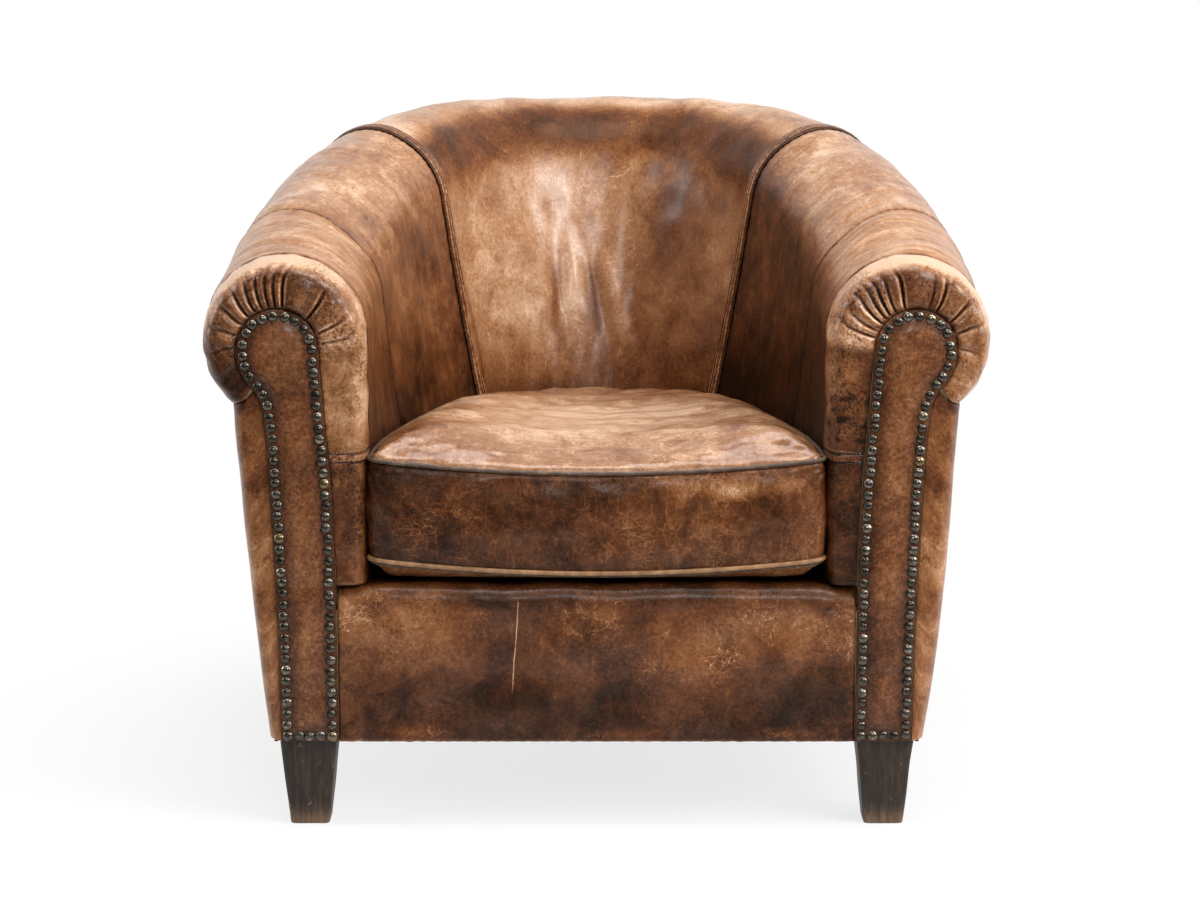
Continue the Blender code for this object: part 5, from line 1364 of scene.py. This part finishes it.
height = boxing * (waves(x, z, 0.075, 601, 0.6) * 0.0010 + waves(x, z, 0.018, 602, 0.5) * 0.00012)
height += seat * (waves(x, d, 0.085, 603, 0.6) * 0.0014 + waves(x, d, 0.030, 604, 0.4) * 0.00035)
height += corner * np.sin(fan * 13 + waves(x, z, 0.05, 605)) * 0.0013 * smooth(np.abs(high), 0.002, 0.010)
height *= smooth(np.abs(high), 0.0, 0.012) * smooth(np.abs(low), 0.0, 0.010)
height += 0.0042 * boxing * np.cos((z - 0.352) / 0.125 * math.pi) * smooth(0.245 - off, 0, 0.03) * (d < 0.04)
height -= 0.0020 * bell(high, 0, 0.0035) * (edge < 0.02)
height += boxing * spots(x, z, [(0.185, 0.378, 0.030, 0.018, 0.0035)]) * (d < 0.06)
height += seat * smooth(edge, 0.0, 0.04) * (0.0065 * bell(off, 0.165, 0.055) - 0.0050 * bell(x, 0, 0.10))
fine_mesh.vertices.foreach_set("co", (points + outward * height[:, None]).ravel())
# The seat's middle is rubbed and carries a painted sheen.
centre = spots(x, d, [(0, 0.20, 0.16, 0.10, 0.95)])
wear_and_light = seat * (0.84 + 0.02 * smooth(d, 0.16, 0.03) + centre - 0.22 * smooth(d, 0.27, 0.42))
wear_and_light += 0.25 * bell(high, 0, 0.004) + (1 - boxing) * (1 - seat) * 0.62
# Painted light on the boxing's right end and a painted highlight near its top right corner.
wear_and_light += boxing * (0.08 + 0.38 * smooth(x, 0.06, 0.20) + spots(x, z, [(0.155, 0.378, 0.045, 0.011, 1.0)]))
# The boxing darkens by its lower welt and carries painted shade on its left end.
dirt_and_shade = boxing * (0.14 + 0.40 * fading(np.abs(low), 0.010) + 0.45 * smooth(x, -0.05, -0.20))
dirt_and_shade += seat * 0.35 * smooth(edge, 0.03, 0.0) * smooth(d, 0.05, 0.2) + bell(high, 0, 0.0022) * 0.8
dirt_and_shade += 0.7 * (1 - smooth(z, CUSHION_FOOT, CUSHION_FOOT + 0.006)) + smooth(d, 0.05, 0.09) * boxing * 0.3
add_masks(fine_mesh, {"wear_and_light": wear_and_light, "dirt_and_shade": dirt_and_shade, "boxing": boxing})
fine_mesh.shade_smooth()
cushion = new_piece("seat_cushion_leather", fine_mesh)

# %% [markdown]
# The cushion's leather needs both looks on one piece, so its material makes the rubbed seat and
# the crackled boxing and mixes them by the mask. The boxing's cracks are longer than tall, because
# the strip folds each time somebody sits down.

# %% The cushion's leather
f = hide_finish("cushion leather")
at = f.place()
on_box = f.mask("boxing")
clouds, mottles = f.noise(at, 9, 3, 0.55), f.noise(at, 38, 6, 0.68, 0.5)
specks = f.noise(at, 260, 4, 0.72)
drawn = f.streaks((9, 70, 60), 6, 0.62, 0.6)
dry = f.noise(at, 13, 3, 0.6).ramp(0.50, 0.66)
wide = f.bent(f.place("Object", (0.45, 0.7, 1)), 40, 0.016)
tall = f.bent(f.place("Object", (1, 1, 0.28)), 30, 0.020)
web = (f.cracks(wide, 130, 0.10) * 0.8 + f.cracks(wide, 330, 0.13) * 0.6) * (dry * 0.8 + 0.2)
web = web + f.cracks(tall, 62, 0.030) * 0.5
level = f.mask("wear_and_light") * 0.42 - f.mask("dirt_and_shade") * 0.30 + (clouds - 0.5) * 0.75 + (mottles - 0.5) * 0.65
level = level + (specks - 0.5) * 0.50 + 0.33
level = level - on_box * 0.045 + on_box * web * 0.25 + (1 - on_box) * ((drawn - 0.5) * 0.30 + web * 0.06)
scratches = f.streaks((14, 150, 150), 4, 0.6, 1.4).ramp(0.64, 0.69)
hairs = f.streaks((240, 30, 30), 3, 0.6, 1.1).ramp(0.65, 0.70)
stains = f.noise(at, 17, 7, 0.66, 0.9).ramp(0.50, 0.64)
curls = curled_lines(f.noise(at, 52, 4, 0.62, 1.6), f.noise(at, 16, 4, 0.6).ramp(0.46, 0.60),
                     (0.478, 0.494, 0.494, 0.510))
level = level + (scratches + hairs) * 0.08 - stains * 0.13 + curls * 0.26
waxed = (mottles - 0.5) * 0.9 + (specks - 0.5) * 0.7 - web * 0.2 - on_box * 0.68 + 0.95
height = specks * 0.6 + f.cells(at, 520) * 0.4 - on_box * web * 0.5
cushion_leather = f.done(f.colours(level, HIDE), (mottles - 0.5) * 0.25 + (specks - 0.5) * 0.15 + 0.34,
                         f.bump(mottles, 0.0012, 0.5, f.bump(height, 0.0008, 0.8)), coat=waxed)
finish_piece(cushion, cushion_leather, ["seat_cushion"])

# %% [markdown]
# ## Welts of the cushion
# The panels of the cushion are joined with a welt: a cord wrapped in leather and caught in the
# seam. A third small tree draws a round cord along the sewn line, a little thicker here and
# thinner there, and the sewing tree lays thread beside it.

# %% A tree that lays a cord
cording = Growth("cording", Radius="Float", Step="Float")
lumps = cording.node("ShaderNodeTexNoise", {"Scale": 55.0, "Detail": 2.0})
thickness = {"Curve": cording.path("Step"), "Radius": lumps.ramp(0.3, 0.7, 0.85, 1.12, "LINEAR")}
line = cording.node("GeometryNodeSetCurveRadius", thickness)
ring = cording.node("GeometryNodeCurvePrimitiveCircle", {"Resolution": 12, "Radius": cording.given("Radius")})
cording.end(cording.node("GeometryNodeCurveToMesh", {"Curve": line, "Profile Curve": ring}))


def welt_finish(name, stops):
    f = Finish(name)
    at = f.place()
    rubs, grit = f.noise(at, 70, 5, 0.7), f.noise(at, 500, 3, 0.6)
    return f.done(f.colours(rubs * 0.75 + grit * 0.25, stops), (grit - 0.5) * 0.3 + 0.5,
                  f.bump(grit, 0.0005, 0.7))


def cord_round(name, z, inset, radius, finish, replaced=(), drop=0.0):
    line = cushion_ring(z, inset, 1.0) + (0, 0, drop)
    edges = [(k, (k + 1) % len(line)) for k in range(len(line))]
    grown(name, line, edges, cording, finish, "welt_leather", replaced, Radius=radius, Step=0.004)


dark_welt = welt_finish("dark welt leather", [(0.30, (0.016, 0.008, 0.005)), (0.50, (0.075, 0.042, 0.024)),
                                              (0.75, (0.25, 0.155, 0.090))])
tan_welt = welt_finish("tan welt leather", [(0.25, (0.05, 0.022, 0.010)), (0.50, (0.27, 0.135, 0.055)),
                                            (0.75, (0.47, 0.27, 0.12))])
cord_round("welt_top_cord", UPPER_WELT_Z, -0.0035, 0.0023, dark_welt, ["cushion_welt_top"])
cord_round("welt_bottom_cord", LOWER_WELT_Z, -0.0035, 0.0026, tan_welt, ["cushion_welt_bottom"])
cord_round("welt_under_cord", LOWER_WELT_Z, -0.0005, 0.0016, dark_welt, drop=-0.0042)
for word, z, drop, inset in (("top", UPPER_WELT_Z, 0.0006, -0.0059),
                             ("bottom", LOWER_WELT_Z, -0.0036, -0.0020)):
    ring = cushion_ring(z, inset, 1.0) + (0, 0, drop)
    sew("cushion_stitches_" + word, [ring[-120:], ring[:121]], brown_thread, 0.0046, 0.0013, 0.0005)

# %% [markdown]
# ## Legs
# The legs are short tapered blocks of stained hardwood, scuffed by vacuum cleaners and shoes. A
# block with sharp corners looks like a toy, so each level of the leg is a square with worn round
# corners, and a little noise dents it. The grain runs up the leg, so its noise is stretched in z.

# %% Leg shapes
LEG_TOP, LEG_FOOT, LEG_HEIGHT, LEG_SIDES = 0.063, 0.043, HEM_Z - GAP, 64
CORNER_POWER, REAR_SPLAY = 14, (0.009, 0.018)


def leg_line(replaced):
    """Where a leg's foot and top stand; the rear legs are splayed outward and back."""
    low, high = (np.array(corner[:2]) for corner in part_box(replaced))
    middle = (low + high) / 2
    if "front" in replaced:
        return middle, middle
    sign = np.array([math.copysign(1, middle[0]), 1])
    top = np.where(sign < 0, high, low) + sign * LEG_TOP / 2
    return top + sign * REAR_SPLAY, top


def worn_leg(name, seed, replaced):
    foot, top = leg_line(replaced)
    around = np.linspace(0, 2 * math.pi, LEG_SIDES, endpoint=False) + math.pi / LEG_SIDES
    square = np.stack([np.cos(around), np.sin(around)], 1)
    square = square / (np.abs(square) ** CORNER_POWER).sum(1)[:, None] ** (1 / CORNER_POWER)
    z = np.concatenate([[0, 0.0008, 0.003, 0.007], np.linspace(0.012, LEG_HEIGHT - 0.006, 26),
                        [LEG_HEIGHT - 0.003, LEG_HEIGHT]])[:, None, None]
    w = z / LEG_HEIGHT
    half = (LEG_FOOT + (LEG_TOP - LEG_FOOT) * w) / 2 - edge_turn(z, 0.0022)
    rings = foot + (top - foot) * w + square * half
    rings = np.concatenate([rings, z + 0 * rings[..., :1]], -1)
    dents = waves(rings[..., 0] + rings[..., 1], rings[..., 2], 0.03, seed, 2.0) * 0.0003
    centre = rings.mean(1, keepdims=True)
    rings = rings + (rings - centre) / 0.03 * dents[..., None] * (1, 1, 0)
    piece = stacked_rings(name, rings)
    piece.data.set_sharp_from_angle(angle=math.radians(50))
    finish_piece(piece, leg_wood, [replaced])


f = Finish("stained leg wood", Specular_IOR_Level=0.3)
at = f.place()
grain, pores = f.streaks((150, 150, 9), 6, 0.68, 0.8), f.streaks((700, 700, 40), 3, 0.6)
scuffs = at.axis(2).ramp(0.030, 0.0) * 0.35 + f.noise(at, 75, 5, 0.75).ramp(0.60, 0.70) * 0.35
colour = f.colours(grain * 0.75 + pores * 0.25 + scuffs,
                   [(0.30, (0.0065, 0.0044, 0.0032)), (0.50, (0.023, 0.0145, 0.0095)),
                    (0.68, (0.060, 0.037, 0.023)), (0.95, (0.20, 0.125, 0.072))])
leg_wood = f.done(colour, (pores - 0.5) * 0.3 + scuffs * 0.2 + 0.48, f.bump(grain + pores * 0.5, 0.0012, 0.8))
LEGS = {f"{place}_leg_{word}": 700 + side + len(place) for place in ("front", "rear") for side, word in SIDES}
for name, seed in LEGS.items():
    worn_leg(name + "_wood", seed, name)

# %% [markdown]
# ## The deck and the dust cover
# Under the cushion the springs of the seat are closed with a cloth deck, and underneath a thin
# black cloth keeps the dust in. Both are stretched sheets, so each is a fine plate whose middle
# may sag, with holes for the legs cut out of the lower one.

# %% Cloth plates


def plate(name, node, power, sag):
    """A sagging sheet in a node's place, with a straight front and a round back."""
    (_, first_d, z0), (half_width, depth, z1) = (np.array(corner) + (0, CENTRE_D, 0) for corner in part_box(node))
    rows, columns = 64, 72
    d = first_d + (depth - 0.001 - first_d) * np.sin(np.linspace(0, math.pi / 2, rows))[:, None]
    half = half_width * (1 - (d / depth) ** power) ** (1 / power)
    x = half * np.linspace(-1, 1, columns)[None]
    rim_way = np.minimum(half - np.abs(x), np.minimum(d - d[0], d[-1] - d))
    drop = -sag * smooth(rim_way, 0.0, 0.18) + waves(x, d, 0.12, 801) * 0.0012 * smooth(rim_way, 0, 0.04)
    top, foot = (np.stack([x, d - CENTRE_D + 0 * x, level + drop], -1) for level in (z1, z0))
    return skin(name, top, foot, top[..., :2], {"dirt_and_shade": 0 * x})


def woven_stuff(name, dark, light, threads, rough=0.9):
    """Cloth whose threads pass over and under each other, so many to the metre."""
    f = Finish(name)
    where = f.place("Object", (math.pi * threads,) * 3)
    warp, weft = [where.axis(k).math("SINE", where.axis(k)) for k in (0, 1)]
    cloth = warp.math("ABSOLUTE", warp) * weft.math("ABSOLUTE", weft)
    fuzz = f.noise(f.place("Object"), 300, 4, 0.7)
    return f.done(f.colours(cloth * 0.7 + fuzz * 0.4, [(0.1, dark), (0.9, light)]), (fuzz - 0.5) * 0.2 + rough,
                  f.bump(cloth + fuzz * 0.4, 0.0006, 0.8))


deck_cloth = woven_stuff("deck cloth", (0.014, 0.010, 0.008), (0.090, 0.060, 0.042), 900)
black_cloth = woven_stuff("dust cloth", (0.004, 0.004, 0.004), (0.045, 0.043, 0.042), 1100)
low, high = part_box("deck_cover")
deck = plate("deck_cover_cloth", "deck_cover", ROLL_POWER, 0.0)
finish_piece(deck, deck_cloth, ["deck_cover"])
2 * high[0]
high[1] - low[1]
HOLE_ROOM, HOLE_HEIGHT = 0.002, 0.05
low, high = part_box("dust_cover")
dust = plate("dust_cover_cloth", "dust_cover", HEM_POWER, 0.004)
for name in LEGS:
    leg_low, leg_high = (np.array(corner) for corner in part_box(name))
    hole = new_piece("hole", bpy.data.meshes.new("hole"))
    bm = bmesh.new()
    bmesh.ops.create_cube(bm, size=1.0)
    for vert in bm.verts:
        place = (leg_low + leg_high) / 2 + np.array(vert.co) * (leg_high - leg_low + HOLE_ROOM)
        vert.co = (place[0], place[1], HEM_Z + vert.co[2] * HOLE_HEIGHT)
    bm.to_mesh(hole.data)
    bm.free()
    cut = dust.modifiers.new("leg", "BOOLEAN")
    cut.operation, cut.object = "DIFFERENCE", hole
    cut_mesh = applied(dust)
    dust.modifiers.clear()
    dust.data = cut_mesh
    bpy.data.objects.remove(hole)
finish_piece(dust, black_cloth, ["dust_cover"])
2 * high[0]
high[1] - low[1]

# %% [markdown]
# ## Finishes for what the leather hides
# The frame, webbing, pads and bolts come straight from the solid model. They are out of sight in
# most views, but each still gets the finish of its own stuff, because a part is looked at from
# all sides and may be taken apart.

# %% Materials of the hidden pieces


def plain_stuff(name, dark, light, scale, rough, stretch=(1, 1, 1), pitch=0.0008, metal=0.0):
    """A material whose colour and bump both follow one noise."""
    f = Finish(name, Metallic=metal)
    at = f.place("Object", stretch)
    coarse, fine = f.noise(at, scale, 5, 0.65, 0.3), f.noise(at, scale * 6, 4, 0.7)
    level = (coarse - 0.5) * 1.4 + (fine - 0.5) * 0.5 + 0.5
    return f.done(f.colours(level, [(0.0, dark), (1.0, light)]), (fine - 0.5) * 0.3 + rough,
                  f.bump(fine + coarse, pitch, 0.7))


foam = plain_stuff("old foam", (0.36, 0.25, 0.11), (0.66, 0.52, 0.29), 160, 0.92, pitch=0.0015)
board = plain_stuff("hardboard", (0.10, 0.050, 0.022), (0.23, 0.130, 0.065), 240, 0.80)
beech = plain_stuff("beech", (0.30, 0.165, 0.075), (0.52, 0.340, 0.185), 60, 0.62, (1, 1, 0.12))
bolt_steel = plain_stuff("bolt steel", (0.18, 0.17, 0.165), (0.46, 0.455, 0.45), 300, 0.38, metal=1.0)
jute = woven_stuff("jute webbing", (0.10, 0.062, 0.028), (0.42, 0.30, 0.17), 260)
STUFFS = {"pad": foam, "liner": board, "post": beech, "top_rail": beech, "side_rail": beech, "back_rail": beech,
          "front_rail": beech, "corner_block": beech, "bolt": bolt_steel, "strap": jute}
for word, stuff in STUFFS.items():
    for name, node in nodes.items():
        if word in name and not node.hide_render and "cover" not in name:
            node.data.materials.clear()
            node.data.materials.append(stuff)
bare = [name for name, node in nodes.items() if not node.hide_render and node.data.materials
        and node.data.materials[0] not in STUFFS.values()]
print("nodes still in their plain material:", bare)

# %% [markdown]
# ## Floor, light and camera
# A catalogue picture of furniture is taken on white paper that curves up behind, under large soft
# lamps. The paper is the floor here, and for the camera it and the sky are white but for the soft
# shadow under the chair. The light that reaches the leather comes from five soft boxes and a
# gentle sky, and what the leather mirrors is white behind the chair and dark in front of it, as in
# a studio. The camera stands a long way off, as for a portrait, a little above the arms and tilted
# down.

# %% Paper floor


def shown_to(nodes, mirror_share):
    """1 for rays from the camera or through things, and a share for mirrored rays."""
    def ray(kind):
        return nodes.node("ShaderNodeLightPath", output=f"Is {kind} Ray")
    return ray("Camera").greatest(ray("Transmission")).greatest(ray("Glossy") * mirror_share)


paper = Finish("white paper")
where = paper.node("ShaderNodeTexCoord", output="Object")
sheet_end = where.axis(1).ramp(-1.35, -0.85, shape="LINEAR")
paper_colour = paper.mix(sheet_end, (0.08, 0.08, 0.08, 1), (0.86, 0.86, 0.86, 1))
away = paper.node("ShaderNodeVectorMath", {0: where}, "Value", operation="LENGTH")
share = shown_to(paper, sheet_end) * away.ramp(0.42, 0.90, 0.78, 1.0)
glow = paper.node("ShaderNodeEmission", {"Color": (1, 1, 1, 1)})
matt = Value(paper, paper.shader.outputs[0])
seen = paper.node("ShaderNodeMixShader", {0: share, 1: matt, 2: glow})
paper.set(paper.tree.nodes["Material Output"].inputs["Surface"], seen)
floor_mesh = bpy.data.meshes.new("paper floor")
floor_mesh.from_pydata([(-8, -8, 0), (8, -8, 0), (8, 8, 0), (-8, 8, 0)], [], [(0, 1, 2, 3)])
floor_mesh.materials.append(paper.done(paper_colour, 0.9))
floor = new_piece("paper_floor", floor_mesh)

# %% Sky and soft boxes
world = bpy.data.worlds.new("studio")
bpy.context.scene.world = world
world.use_nodes = True
sky = Nodes(world.node_tree)
white = sky.node("ShaderNodeBackground", {"Color": (1, 1, 1, 1), "Strength": 1.0})
dim = sky.node("ShaderNodeBackground", {"Color": (1.0, 0.99, 0.98, 1), "Strength": 0.17})
toward = sky.node("ShaderNodeTexCoord", output="Generated")
behind = sky.node("ShaderNodeVectorMath", {0: toward, 1: (0, 0.75, 0.66)}, "Value", operation="DOT_PRODUCT")
share = shown_to(sky, behind.ramp(-0.15, 0.45, shape="LINEAR"))
seen = sky.node("ShaderNodeMixShader", {0: share, 1: dim, 2: white})
sky.set(sky.tree.nodes["World Output"].inputs["Surface"], seen)


def soft_box(name, place, target, size, watts):
    lamp = bpy.data.lights.new(name, "AREA")
    lamp.shape, lamp.size, lamp.size_y, lamp.energy = "RECTANGLE", size[0], size[1], watts
    holder = new_piece(name, lamp)
    holder.location = place
    holder.rotation_euler = (Vector(target) - Vector(place)).to_track_quat("-Z", "Y").to_euler()


soft_box("top box", (0.1, -0.6, 2.6), (0, 0.0, 0.35), (2.0, 1.2), 50)
soft_box("right box", (2.35, -1.9, 2.1), (0, 0, 0.5), (1.5, 1.7), 92)
soft_box("long box", (2.85, -0.1, 1.25), (0, 0.05, 0.55), (3.2, 0.9), 30)
soft_box("left box", (-2.7, -0.2, 1.3), (0, 0, 0.4), (1.0, 1.6), 28)
soft_box("window", (0.3, -3.4, 2.0), (0, 0.2, 0.6), (0.7, 0.8), 26)

# %% Camera
camera = new_piece("camera", bpy.data.cameras.new("camera"))
camera.data.lens, camera.data.sensor_width = 86.85, 36
camera.location = (0.0037, -3.4435, 0.92)
camera.rotation_euler = (math.radians(90 - 9.26), 0, 0)
bpy.context.scene.camera = camera
bpy.context.scene.view_settings.view_transform = "Standard"
